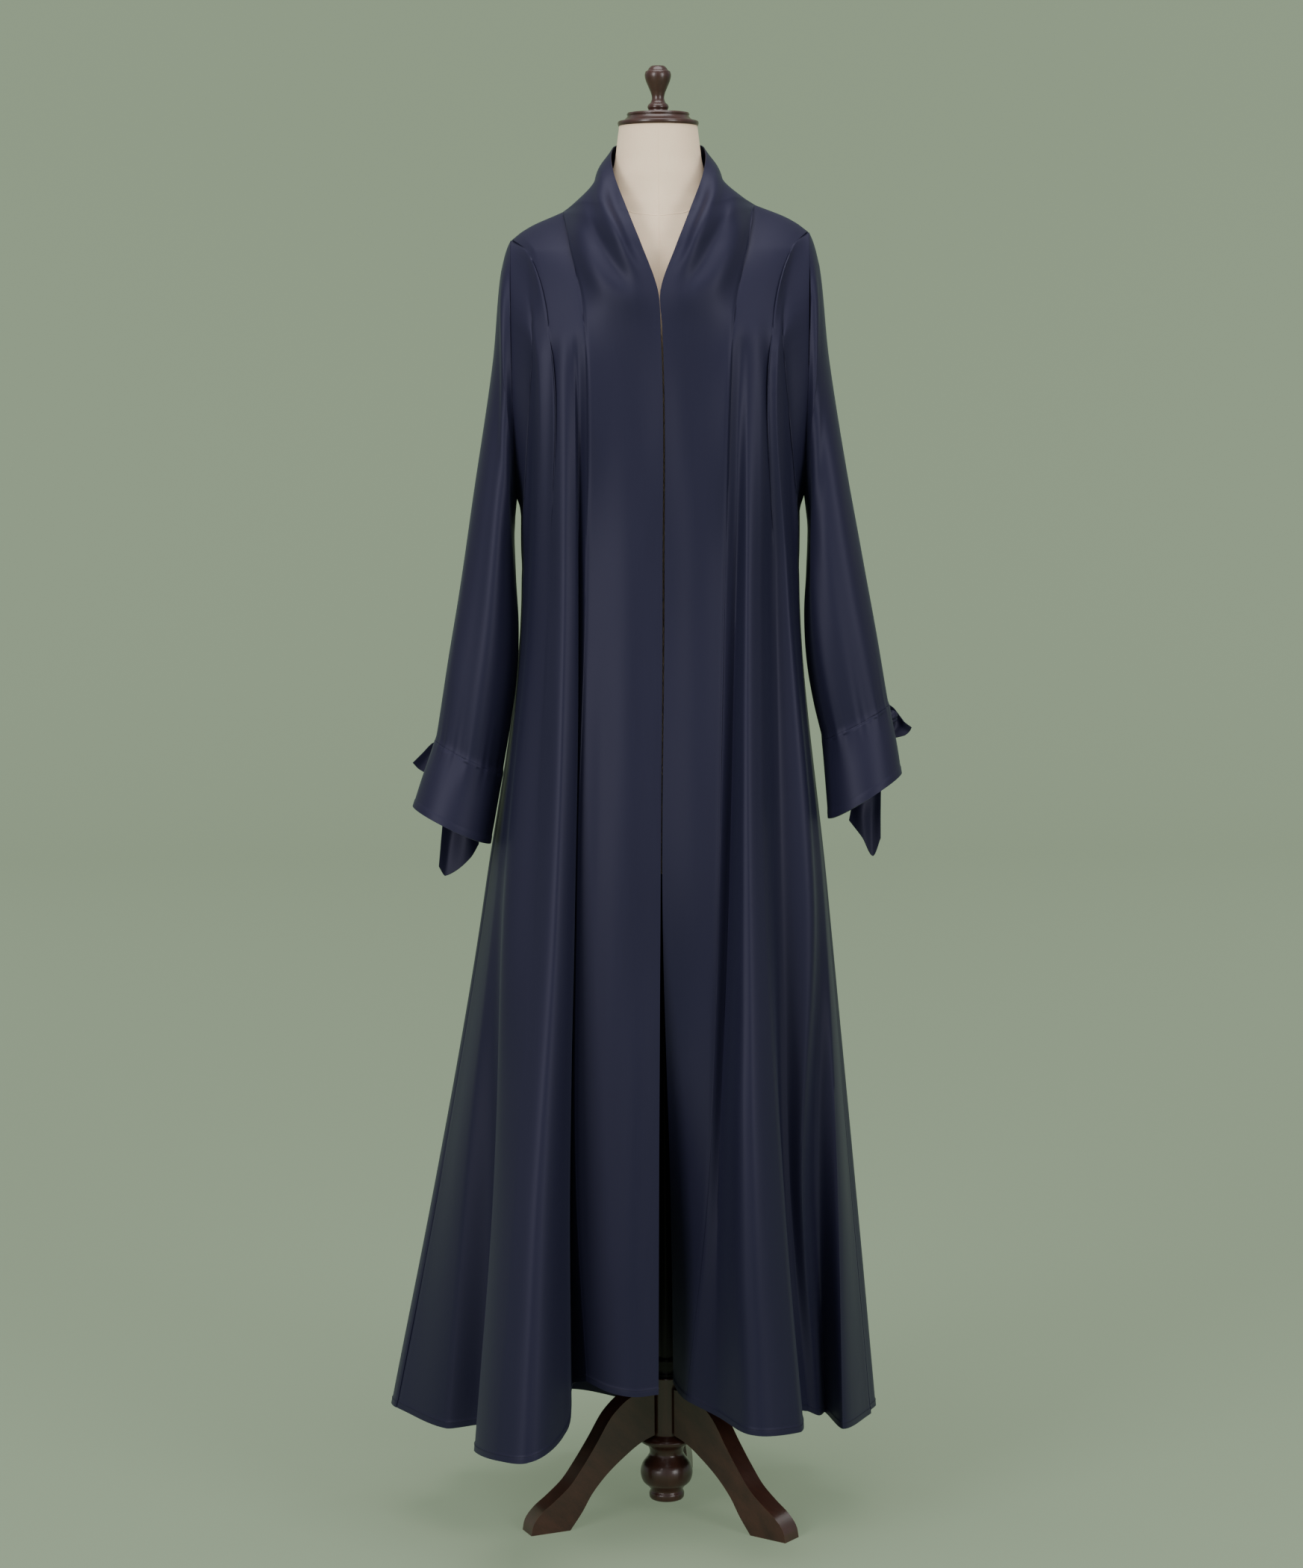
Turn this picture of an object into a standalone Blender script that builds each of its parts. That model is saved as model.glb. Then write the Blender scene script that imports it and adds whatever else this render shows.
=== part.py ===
"""Open-front satin abaya worn by a limbless dress form on a turned wooden tripod.

Metres, +Z up, the front looks towards -Y. "Out" means away from the centre line of
the garment, so one table column serves the left side (-X) and the right side (+X).
"""
import math

import bmesh
import bpy
import numpy as np
from mathutils import Vector

# Cloth
WALL = 0.0020
SEAM_GAP = 0.0003
NECK_SEAM_GAP = 0.0008
NECK_SEAM_DROP = 0.0012
GAP_COLUMNS = 3
# Rows of the body down from the shoulder, as shares of the drop
ROW_DROPS = (0.0, 0.010, 0.024, 0.042, 0.066, 0.100, 0.150, 0.220,
             0.310, 0.410, 0.510, 0.610, 0.710, 0.810, 0.910, 1.0)
BODY_ROWS = len(ROW_DROPS) - 1

# Heights at which the hanging cloth is described
YOKE_Z = 1.600
CHEST_Z = 1.500
WAIST_Z = 1.200
THIGH_Z = 0.800
SHIN_Z = 0.450
BACK_HEM_Z = 0.085

# Plan section of the hanging cloth at each height, before the folds
SECTIONS = {
    # level: half width left, half width right, depth in front, depth behind
    "yoke": (0.195, 0.195, 0.078, 0.080),
    "chest": (0.205, 0.205, 0.120, 0.108),
    "waist": (0.178, 0.178, 0.125, 0.126),
    "thigh": (0.224, 0.210, 0.148, 0.160),
    "shin": (0.285, 0.240, 0.168, 0.200),
    "hem": (0.348, 0.266, 0.190, 0.240),
}
SECTION_POWER = 2.2

# Lines that run down the front from shoulder to hem, from the front edge to the side seam
LINE_COLUMNS = ("chest", "waist", "thigh", "shin", "hem",
                "fold_thigh", "fold_shin", "fold_hem", "hem_z")
LEFT_LINES = {
    # name: distance out at five heights, fold depth at three, height of the hem
    "edge": (-0.0013, -0.0017, 0.0032, 0.0072, 0.0093, 0.0025, 0.001, -0.009, 0.2075),
    "panel_a": (0.0293, 0.0291, 0.0368, 0.0412, 0.0391, 0.0065, 0.0045, -0.0025, 0.2063),
    "panel_b": (0.060, 0.060, 0.071, 0.075, 0.069, 0.006, 0.002, -0.008, 0.210),
    "seam": (0.090, 0.091, 0.105, 0.109, 0.098, 0.005, -0.004, -0.017, 0.221),
    "recess": (0.099, 0.101, 0.113, 0.117, 0.116, -0.013, -0.027, -0.049, 0.208),
    "fold_edge": (0.106, 0.102, 0.109, 0.121, 0.124, 0.026, 0.049, 0.057, 0.175),
    "fold_ridge": (0.118, 0.116, 0.129, 0.151, 0.165, 0.055, 0.094, 0.118, 0.157),
    "fold_face": (0.134, 0.136, 0.159, 0.180, 0.204, 0.048, 0.087, 0.107, 0.153),
    "fold_back": (0.152, 0.155, 0.192, 0.208, 0.233, 0.045, 0.049, 0.060, 0.147),
    "valley": (0.160, 0.163, 0.199, 0.211, 0.226, 0.015, -0.012, -0.045, 0.149),
    "side_ridge": (0.168, 0.168, 0.208, 0.247, 0.273, 0.008, 0.001, -0.021, 0.144),
    "side": (0.176, 0.172, 0.221, 0.282, 0.343, 0.010, 0.010, 0.020, 0.146),
}
RIGHT_LINES = {
    "edge": (0.0035, 0.0042, -0.0008, 0.007, 0.010, 0.000, -0.058, -0.145, 0.184),
    "panel_a": (0.031, 0.028, 0.021, 0.020, 0.013, -0.004, -0.045, -0.118, 0.184),
    "panel_b": (0.060, 0.053, 0.045, 0.037, 0.017, -0.006, -0.028, -0.085, 0.186),
    "seam": (0.089, 0.078, 0.067, 0.053, 0.024, -0.005, -0.014, -0.054, 0.187),
    "recess": (0.098, 0.091, 0.080, 0.066, 0.062, -0.012, -0.011, -0.020, 0.176),
    "ridge": (0.110, 0.104, 0.101, 0.103, 0.108, 0.036, 0.064, 0.062, 0.173),
    "fold_edge": (0.125, 0.120, 0.123, 0.142, 0.163, 0.031, 0.051, 0.056, 0.169),
    "fold_back": (0.137, 0.139, 0.144, 0.153, 0.174, 0.001, -0.019, -0.043, 0.164),
    "second": (0.146, 0.154, 0.182, 0.168, 0.190, 0.028, -0.004, -0.048, 0.154),
    "valley": (0.156, 0.163, 0.190, 0.190, 0.200, 0.012, -0.030, -0.073, 0.149),
    "side_ridge": (0.166, 0.168, 0.199, 0.214, 0.219, 0.012, 0.006, 0.004, 0.145),
    "side": (0.176, 0.172, 0.205, 0.234, 0.260, 0.004, 0.010, 0.026, 0.136),
}
PANEL_LINES = ("edge", "panel_a", "panel_b", "seam")
CHEST_FOLD = 0.00
WAIST_FOLD = 0.50

# Soft waves of the plain back
BACK_WAVE = 0.030
BACK_WAVE_PERIOD = 4
BACK_WAVE_START = 0.6
BACK_GROWTH = {"chest": 0.03, "waist": 0.20, "thigh": 0.50, "shin": 0.80, "hem": 1.0}

# Shoulder seam, from the neck notch to the armhole
LEFT_SHOULDER = ((0.080, 1.668), (0.118, 1.6475), (0.164, 1.626), (0.1815, 1.613))
RIGHT_SHOULDER = ((0.080, 1.673), (0.118, 1.655), (0.166, 1.634), (0.184, 1.621))
SHOULDER_SEAM_Y = 0.006
TOP_SPREAD = (0.0, 0.20, 0.42, 0.68, 1.0)

# Cut-on shawl collar, from the foot of the V round to the centre back
COLLAR_ROWS = (3, 2, 2, 2)
COLLAR = {
    # station: free edge, inner line, outer line, seam, each as out, y, z
    "v_foot": ((0.0012, -0.1180, 1.546), (0.034, -0.121, 1.548),
               (0.066, -0.114, 1.550), (0.094, -0.098, 1.545)),
    "lapel": ((0.0200, -0.1060, 1.600), (0.047, -0.110, 1.603),
              (0.079, -0.097, 1.606), (0.108, -0.071, 1.600)),
    "crest": ((0.0295, -0.0970, 1.624), (0.056, -0.099, 1.630),
              (0.087, -0.081, 1.636), (0.1155, -0.024, 1.6425)),
    "shoulder": ((0.0380, -0.0860, 1.646), (0.063, -0.082, 1.651),
                 (0.092, -0.054, 1.657), (0.118, 0.006, 1.6475)),
    "notch": ((0.0545, -0.0500, 1.692), (0.070, -0.043, 1.690),
              (0.079, -0.021, 1.681), (0.080, 0.006, 1.668)),
    "side": ((0.0575, -0.0100, 1.719), (0.0705, -0.003, 1.704),
             (0.077, 0.010, 1.685), (0.077, 0.026, 1.664)),
    "nape_side": ((0.0470, 0.0360, 1.731), (0.054, 0.043, 1.710),
                  (0.058, 0.050, 1.686), (0.060, 0.054, 1.660)),
    "nape": ((0.0004, 0.0612, 1.7297), (0.0004, 0.0662, 1.7077),
             (0.0004, 0.0701, 1.6829), (0.0004, 0.0741, 1.6570)),
}

# Sleeves, a row for each ring from the armhole to the cuff seam
LEFT_SLEEVE = (
    # overarm out, overarm z, underarm out, underarm z, half depth, centre y
    (0.1815, 1.613, 0.1785, 1.300, 0.064, 0.000),
    (0.1940, 1.575, 0.1830, 1.255, 0.064, 0.000),
    (0.2045, 1.470, 0.1860, 1.200, 0.062, -0.002),
    (0.2290, 1.312, 0.1890, 1.135, 0.060, -0.010),
    (0.2490, 1.182, 0.1915, 1.075, 0.056, -0.020),
    (0.2650, 1.090, 0.1945, 1.015, 0.051, -0.030),
    (0.2795, 1.000, 0.1990, 0.959, 0.046, -0.038),
)
RIGHT_SLEEVE = (
    (0.1840, 1.621, 0.1785, 1.300, 0.064, 0.000),
    (0.1970, 1.580, 0.1830, 1.260, 0.064, 0.000),
    (0.2080, 1.470, 0.1860, 1.205, 0.062, -0.002),
    (0.2285, 1.335, 0.1890, 1.150, 0.060, -0.010),
    (0.2480, 1.225, 0.1915, 1.095, 0.056, -0.020),
    (0.2650, 1.130, 0.1945, 1.045, 0.051, -0.030),
    (0.2795, 1.041, 0.1990, 0.998, 0.046, -0.038),
)
SLEEVE_ROWS = 9
ARMHOLE_STEPS = 12
ARMHOLE_GAP = 0.0014
ARMHOLE_EASE = 0.0020
LEFT_CUFF = ((0.2800, 0.9995, 0.1990, 0.9585, 0.0465, -0.038),
             (0.2960, 0.9570, 0.2070, 0.9130, 0.0500, -0.042),
             (0.3084, 0.9190, 0.2145, 0.8720, 0.0530, -0.046))
RIGHT_CUFF = ((0.2800, 1.0405, 0.1990, 0.9975, 0.0465, -0.038),
              (0.2890, 0.9980, 0.2025, 0.9500, 0.0500, -0.044),
              (0.2951, 0.9570, 0.2060, 0.9010, 0.0530, -0.050))
CUFF_ROWS = 3

# Knot and free ends of the tie at each cuff
TIE_THICKNESS = 0.0026
KNOT_RADII = (0.009, 0.008, 0.010)
TIES = {
    # piece: along the strip, out, y, z and width
    "left": {
        "knot": (0.2775, 0.0014, 0.9857),
        "tail_upper": ((0.2879, 0.0033, 0.9852, 0.012), (0.2980, 0.0060, 0.980, 0.022),
                       (0.3060, 0.0060, 0.972, 0.024), (0.3125, 0.0040, 0.964, 0.004)),
        "tail_hanging": ((0.2775, 0.0028, 0.9753, 0.012), (0.2760, 0.0115, 0.940, 0.028),
                         (0.2660, 0.0125, 0.900, 0.042), (0.2620, 0.0110, 0.862, 0.046),
                         (0.2680, 0.0100, 0.838, 0.026), (0.2760, 0.0100, 0.819, 0.003)),
    },
    "right": {
        "knot": (0.2862, -0.0112, 1.022),
        "tail_upper": ((0.2984, -0.0100, 1.022, 0.012), (0.3035, -0.0080, 1.017, 0.024),
                       (0.3100, -0.0070, 1.010, 0.020), (0.3160, -0.0080, 1.004, 0.004)),
        "tail_hanging": ((0.2860, -0.0093, 1.0117, 0.012), (0.2840, 0.0000, 0.985, 0.020),
                         (0.2770, 0.0060, 0.955, 0.028), (0.2700, 0.0095, 0.925, 0.034),
                         (0.2670, 0.0100, 0.893, 0.034), (0.2680, 0.0090, 0.865, 0.022),
                         (0.2680, 0.0090, 0.840, 0.003)),
    },
}

# Dress form, an oval ring at each height
FORM_SEGMENTS = 28
FORM_RINGS = (
    # z, half width, half depth, power of the oval (2 is an ellipse, less is nearer a ridge)
    (0.8400, 0.1500, 0.1100, 2.0),
    (0.9500, 0.1620, 0.1160, 2.0),
    (1.0500, 0.1480, 0.1080, 2.0),
    (1.1500, 0.1280, 0.0940, 2.0),
    (1.2800, 0.1380, 0.0980, 2.0),
    (1.4000, 0.1540, 0.1040, 2.0),
    (1.4800, 0.1610, 0.1020, 2.0),
    (1.5400, 0.1710, 0.0900, 1.9),
    (1.5800, 0.1770, 0.0800, 1.6),
    (1.6000, 0.1790, 0.0750, 1.4),
    (1.6100, 0.1755, 0.0720, 1.3),
    (1.6232, 0.1635, 0.0690, 1.2),
    (1.6446, 0.1175, 0.0635, 1.2),
    (1.6652, 0.0795, 0.0585, 1.5),
    (1.6780, 0.0660, 0.0560, 1.8),
    (1.6920, 0.0585, 0.0545, 2.0),
    (1.7080, 0.0540, 0.0525, 2.0),
    (1.7510, 0.0486, 0.0486, 2.0),
)
FORM_BASE_Z = FORM_RINGS[0][0]

# Turned wood, as radius and height from top to bottom
CAP_PROFILE = ((0.0375, 1.7670), (0.0385, 1.7650), (0.0378, 1.7630), (0.0400, 1.7600),
               (0.0440, 1.7575), (0.0490, 1.7565), (0.0498, 1.7540), (0.0490, 1.7513))
FINIAL_PROFILE = ((0.0045, 1.8240), (0.0100, 1.8222), (0.0128, 1.8190), (0.0150, 1.8175),
                  (0.0162, 1.8125), (0.0150, 1.8060), (0.0115, 1.7975), (0.0082, 1.7890),
                  (0.0076, 1.7845), (0.0092, 1.7795), (0.0122, 1.7765), (0.0130, 1.7735),
                  (0.0118, 1.7705), (0.0135, 1.7673))
COLUMN_RADIUS = 0.0228
COLUMN_PROFILE = ((COLUMN_RADIUS, 0.1810), (COLUMN_RADIUS, 0.1060), (0.0325, 0.1025),
                  (0.0352, 0.0990), (0.0330, 0.0950), (0.0240, 0.0890), (0.0214, 0.0805),
                  (0.0245, 0.0740), (0.0310, 0.0650), (0.0333, 0.0540), (0.0305, 0.0430),
                  (0.0225, 0.0350), (0.0205, 0.0315), (0.0223, 0.0270), (0.0212, 0.0205),
                  (0.0170, 0.0188))
TURN_SEGMENTS = 24
POLE_RADIUS = 0.0105
POLE_COLLAR_PROFILE = ((0.0150, 0.2040), (0.0158, 0.1995), (0.0150, 0.1950),
                       (0.0150, 0.1860), (0.0158, 0.1840), (0.0158, 0.1813))

# Legs of the tripod, sawn from plank
LEG_THICKNESS = 0.030
LEG_BEARINGS = {"leg_front_left": -66.0, "leg_front_right": 54.0, "leg_back": 174.0}
LEG_ROOT = COLUMN_RADIUS + SEAM_GAP
LEG_OUTLINE = (
    # distance from the axis, z
    (LEG_ROOT, 0.1680), (0.0450, 0.1660), (0.0635, 0.1570), (0.0830, 0.1390),
    (0.1030, 0.1080), (0.1230, 0.0790), (0.1395, 0.0580), (0.1600, 0.0410),
    (0.1800, 0.0260), (0.1900, 0.0130), (0.1930, 0.0000), (0.1400, 0.0000),
    (0.1235, 0.0215), (0.1100, 0.0430), (0.0903, 0.0650), (0.0640, 0.0865),
    (0.0400, 0.1020), (LEG_ROOT, 0.1085),
)

SATIN = ("navy_satin", (0.016, 0.020, 0.046), 0.38, 0.0)
LINEN = ("natural_linen", (0.62, 0.52, 0.42), 0.85, 0.0)
WOOD = ("dark_wood", (0.040, 0.022, 0.016), 0.28, 0.0)
STEEL = ("black_steel", (0.015, 0.014, 0.014), 0.35, 0.9)


def clear_scene():
    for item in list(bpy.data.objects):
        bpy.data.objects.remove(item, do_unlink=True)


def material(finish):
    name, colour, roughness, metallic = finish
    shade = bpy.data.materials.get(name)
    if shade is None:
        shade = bpy.data.materials.new(name)
        shade.use_nodes = True
        shader = shade.node_tree.nodes["Principled BSDF"]
        shader.inputs["Base Color"].default_value = (*colour, 1.0)
        shader.inputs["Roughness"].default_value = roughness
        shader.inputs["Metallic"].default_value = metallic
        shade.diffuse_color = (*colour, 1.0)
    return shade


def add_object(name, points, faces, finish, sharp_angle=40.0):
    mesh = bpy.data.meshes.new(name)
    mesh.from_pydata([tuple(p) for p in points], [], faces)
    mesh.materials.append(material(finish))
    mesh.shade_smooth()
    mesh.set_sharp_from_angle(angle=math.radians(sharp_angle))
    item = bpy.data.objects.new(name, mesh)
    bpy.context.collection.objects.link(item)
    return item


def spline(points, shares):
    """Smooth curve through the points, read at the given knot positions (0 is the first)."""
    pts = np.asarray(points, dtype=float)
    last = len(pts) - 1
    out = []
    for share in shares:
        k = min(int(share), last - 1)
        t = share - k
        p1 = pts[k]
        p2 = pts[k + 1]
        p0 = pts[k - 1] if k > 0 else 2 * p1 - p2
        p3 = pts[k + 2] if k + 2 <= last else 2 * p2 - p1
        span = max(np.linalg.norm(p2 - p1), 1e-9)
        before = max(np.linalg.norm(p1 - p0), 1e-9)
        after = max(np.linalg.norm(p3 - p2), 1e-9)
        leave = (p1 - p0) / before * span * before / (before + span)
        leave = leave + (p2 - p1) / span * span * span / (before + span)
        arrive = (p2 - p1) / span * span * after / (span + after)
        arrive = arrive + (p3 - p2) / after * span * span / (span + after)
        arrive = arrive if k + 2 <= last else (p2 - p1)
        leave = leave if k > 0 else (p2 - p1)
        h1 = 2 * t**3 - 3 * t**2 + 1
        h2 = -2 * t**3 + 3 * t**2
        h3 = t**3 - 2 * t**2 + t
        h4 = t**3 - t**2
        out.append(h1 * p1 + h2 * p2 + h3 * leave + h4 * arrive)
    return np.array(out)


def even_points(points, fractions):
    """Points at the given fractions of the length of the smooth curve through the points."""
    fine = spline(points, np.linspace(0, len(points) - 1, 12 * (len(points) - 1) + 1))
    steps = np.linalg.norm(np.diff(fine, axis=0), axis=1)
    length = np.concatenate([[0.0], np.cumsum(steps)])
    wanted = np.asarray(fractions) * length[-1]
    return np.stack([np.interp(wanted, length, fine[:, k]) for k in range(3)], axis=1)


def section_depth(level, side, out, face):
    """How far the plain section reaches to the front (face 2) or the back (face 3)."""
    row = SECTIONS[level]
    half_width = row[0] if side < 0 else row[1]
    share = min(1.0, abs(out) / half_width)
    return row[face] * (1 - share**SECTION_POWER) ** (1 / SECTION_POWER)


def shoulder_curve(side):
    return LEFT_SHOULDER if side < 0 else RIGHT_SHOULDER


def shoulder_point(side, out):
    """Point of the shoulder seam at a distance from the centre line."""
    table = np.array(shoulder_curve(side))
    outs = spline(table, np.linspace(0, len(table) - 1, 40))
    z = np.interp(out, outs[:, 0], outs[:, 1])
    y = np.interp(out, [table[1, 0], table[-1, 0]], [SHOULDER_SEAM_Y, 0.0])
    return np.array([side * out, y, z])


def sleeve_table(side):
    return LEFT_SLEEVE if side < 0 else RIGHT_SLEEVE


def ring_point(side, row, angle):
    """Point of a sleeve ring: angle 0 is overarm, 90 degrees front, 180 underarm."""
    over = np.array([side * row[0], row[5], row[1]])
    under = np.array([side * row[2], row[5], row[3]])
    middle = (over + under) / 2
    return middle + (over - middle) * math.cos(angle) + np.array([0, -row[4] * math.sin(angle), 0])


def armhole_point(side, angle):
    return ring_point(side, sleeve_table(side)[0], angle)


def front_levels(side, name):
    """Points of one front line from yoke to hem."""
    table = LEFT_LINES if side < 0 else RIGHT_LINES
    row = dict(zip(LINE_COLUMNS, table[name]))
    folds = {"chest": CHEST_FOLD * row["fold_thigh"], "waist": WAIST_FOLD * row["fold_thigh"],
             "thigh": row["fold_thigh"], "shin": row["fold_shin"], "hem": row["fold_hem"]}
    heights = {"chest": CHEST_Z, "waist": WAIST_Z, "thigh": THIGH_Z, "shin": SHIN_Z,
               "hem": row["hem_z"]}
    points = []
    for level, z in heights.items():
        plain = 0.0 if name == "side" else section_depth(level, side, row[level], 2)
        y = -plain - folds[level]
        points.append((side * row[level], y, z))
    return points


def with_top(top, levels, yoke):
    """Control points of a column whose top may lie below the chest."""
    ladder = np.array([yoke] + list(levels))
    heights = ladder[:, 2]
    rows = [top]
    for z, drop in ((YOKE_Z, 0.020), (CHEST_Z, 0.070)):
        at = min(z, top[2] - drop)
        place = [np.interp(-at, -heights, ladder[:, k]) for k in range(2)]
        rows.append(np.array([place[0], place[1], at]))
    rows.extend(ladder[2:])
    return rows


def over_the_ridge(control):
    """Fine points of a column that starts level, as cloth does on the ridge of the shoulder."""
    top, below = control[0], control[1]
    beyond = np.array([below[0], 2 * top[1] - below[1], below[2]])
    curve = [beyond] + control
    return list(spline(curve, np.linspace(1, len(curve) - 1, 12 * (len(curve) - 2) + 1)))


def row_fractions():
    """Rows from hem (0) to shoulder (1)."""
    return 1.0 - np.array(ROW_DROPS[::-1])


def panel_columns(side):
    """Front panel with its half of the collar, columns from free edge to seam."""
    levels = [front_levels(side, name) for name in PANEL_LINES]
    shares = np.linspace(0, len(PANEL_LINES) - 1, 2 * (len(PANEL_LINES) - 1) + 1)
    stations = []
    for k in range(len(levels[0]) - 1, -1, -1):
        stations.append([line[k] for line in levels])
    for station in COLLAR.values():
        stations.append([(side * p[0], p[1], p[2]) for p in station])
    lower = len(levels[0]) + list(COLLAR).index("shoulder") + 1
    across = [spline(points, shares) for points in stations]
    columns = []
    for c in range(len(shares)):
        rail = [row[c] for row in across]
        below = even_points(rail[:lower], row_fractions())
        above = []
        for k, count in enumerate(COLLAR_ROWS):
            for step in range(1, count + 1):
                above.append(lower - 1 + k + step / count)
        columns.append(np.vstack([below, spline(rail, above)]))
    return np.array(columns)


def side_tops(side):
    """Top points from the panel seam along the shoulder and round the front of the armhole."""
    table = shoulder_curve(side)
    start = table[1][0]
    end = table[-1][0]
    shares = spline([(s, 0, 0) for s in TOP_SPREAD],
                    np.linspace(0, len(TOP_SPREAD) - 1, GAP_COLUMNS * (len(TOP_SPREAD) - 1) + 1))
    tops = [shoulder_point(side, start + (end - start) * s[0]) for s in shares]
    for step in range(1, ARMHOLE_STEPS + 1):
        tops.append(armhole_point(side, math.pi * step / ARMHOLE_STEPS))
    return tops


def side_columns(side, seam_column):
    """Side front, columns from the panel seam to the side seam."""
    names = list(LEFT_LINES if side < 0 else RIGHT_LINES)[3:]
    levels = [front_levels(side, name) for name in names]
    gaps = len(names) - 1
    shares = np.linspace(0, gaps, GAP_COLUMNS * gaps + 1)
    across = [spline([line[k] for line in levels], shares) for k in range(len(levels[0]))]
    tops = side_tops(side)
    columns = [seam_column]
    for c in range(1, len(shares)):
        top = tops[c]
        chest = across[0][c]
        out = 0.55 * abs(top[0]) + 0.45 * abs(chest[0])
        yoke = (side * out, -section_depth("yoke", side, out, 2), YOKE_Z)
        control = with_top(top, [row[c] for row in across], yoke)
        if c < GAP_COLUMNS * (len(TOP_SPREAD) - 1):
            control = over_the_ridge(control)
        columns.append(even_points(control[::-1], row_fractions()))
    return np.array(columns)


def back_level(level, side, seam, step, steps):
    """Point of the back at one height; step 0 is the side seam, steps is the centre back."""
    half_width = abs(seam[0])
    depth = SECTIONS[level][3]
    turn = 0.5 * math.pi * step / steps
    power = 2 / SECTION_POWER
    x = half_width * math.cos(turn) ** power
    y = depth * math.sin(turn) ** power + seam[1] * math.cos(turn) ** 2
    around = (step if side < 0 else 2 * steps - step) / (GAP_COLUMNS * BACK_WAVE_PERIOD)
    fade = math.sin(turn) ** 0.5
    wave = BACK_WAVE * BACK_GROWTH[level] * fade * math.sin(2 * math.pi * around + BACK_WAVE_START)
    outward = Vector((math.cos(turn) / half_width, math.sin(turn) / depth)).normalized()
    return side * (x + wave * outward.x), y + wave * outward.y


def back_half(side, seam_column, tops):
    """Half of the back, columns from the side seam to the centre back."""
    steps = len(tops) - 1
    seam_points = front_levels(side, "side")
    heights = (CHEST_Z, WAIST_Z, THIGH_Z, SHIN_Z)
    columns = [seam_column]
    for c in range(1, steps + 1):
        drop = math.sin(0.5 * math.pi * c / steps) ** 1.4
        hem_z = seam_column[0][2] + (BACK_HEM_Z - seam_column[0][2]) * drop
        levels = []
        for level, seam, z in zip(BACK_GROWTH, seam_points, heights + (hem_z,)):
            levels.append((*back_level(level, side, seam, c, steps), z))
        top = np.array(tops[c])
        out = 0.5 * abs(top[0]) + 0.5 * abs(levels[0][0])
        yoke = (side * out, section_depth("yoke", side, out, 3), YOKE_Z)
        control = with_top(top, levels, yoke)
        if c > ARMHOLE_STEPS:
            control = over_the_ridge(control)
        columns.append(even_points(control[::-1], row_fractions()))
    return np.array(columns)


def unit(vectors):
    return vectors / np.maximum(np.linalg.norm(vectors, axis=-1, keepdims=True), 1e-12)


def grid_normals(grid, closed=False):
    """Unit normals of a grid of points, first index round the body, second up it."""
    if closed:
        along = np.roll(grid, -1, axis=0) - np.roll(grid, 1, axis=0)
    else:
        along = np.gradient(grid, axis=0)
    up = np.gradient(grid, axis=1)
    return unit(np.cross(unit(along), unit(up)))


def pull_in(grid, low_u, high_u, low_v, high_v):
    """Move the edges of a grid inwards along its own surface by the share of gap given for each."""
    moved = grid.copy()
    moved[0] += unit(grid[1] - grid[0]) * low_u
    moved[-1] += unit(grid[-2] - grid[-1]) * high_u
    moved[:, 0] += unit(grid[:, 1] - grid[:, 0]) * low_v
    moved[:, -1] += unit(grid[:, -2] - grid[:, -1]) * high_v
    return moved


def rim_faces(a, b, count):
    """Two triangles of a rim, split alike on both sides of a seam so that its walls stay parallel."""
    return [(a, b, count + b), (a, count + b, count + a)]


def shell(name, grid, normals, finish, closed=False):
    """Wall of cloth about a grid of middle points."""
    columns, rows = grid.shape[:2]
    outer = grid + normals * WALL / 2
    inner = grid - normals * WALL / 2
    points = np.concatenate([outer.reshape(-1, 3), inner.reshape(-1, 3)])
    count = columns * rows
    spans = columns if closed else columns - 1
    faces = []
    for c in range(spans):
        d = (c + 1) % columns
        for r in range(rows - 1):
            a, b, e, f = c * rows + r, d * rows + r, d * rows + r + 1, c * rows + r + 1
            faces.append((a, b, e, f))
            faces.append((count + f, count + e, count + b, count + a))
        for a, b in ((c * rows, d * rows), (c * rows + rows - 1, d * rows + rows - 1)):
            if abs(outer[a // rows, a % rows, 0]) < abs(outer[b // rows, b % rows, 0]) - 1e-6:
                a, b = b, a
            faces += rim_faces(a, b, count)
    if not closed:
        last = (columns - 1) * rows
        for r in range(rows - 1):
            faces += rim_faces(r, r + 1, count)
            faces += rim_faces(last + r, last + r + 1, count)
    item = add_object(name, points, faces, finish)
    face_outwards(item)
    return item


def face_outwards(item):
    work = bmesh.new()
    work.from_mesh(item.data)
    bmesh.ops.recalc_face_normals(work, faces=work.faces)
    if work.calc_volume(signed=True) < 0:
        bmesh.ops.reverse_faces(work, faces=work.faces)
    work.to_mesh(item.data)
    work.free()


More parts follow.
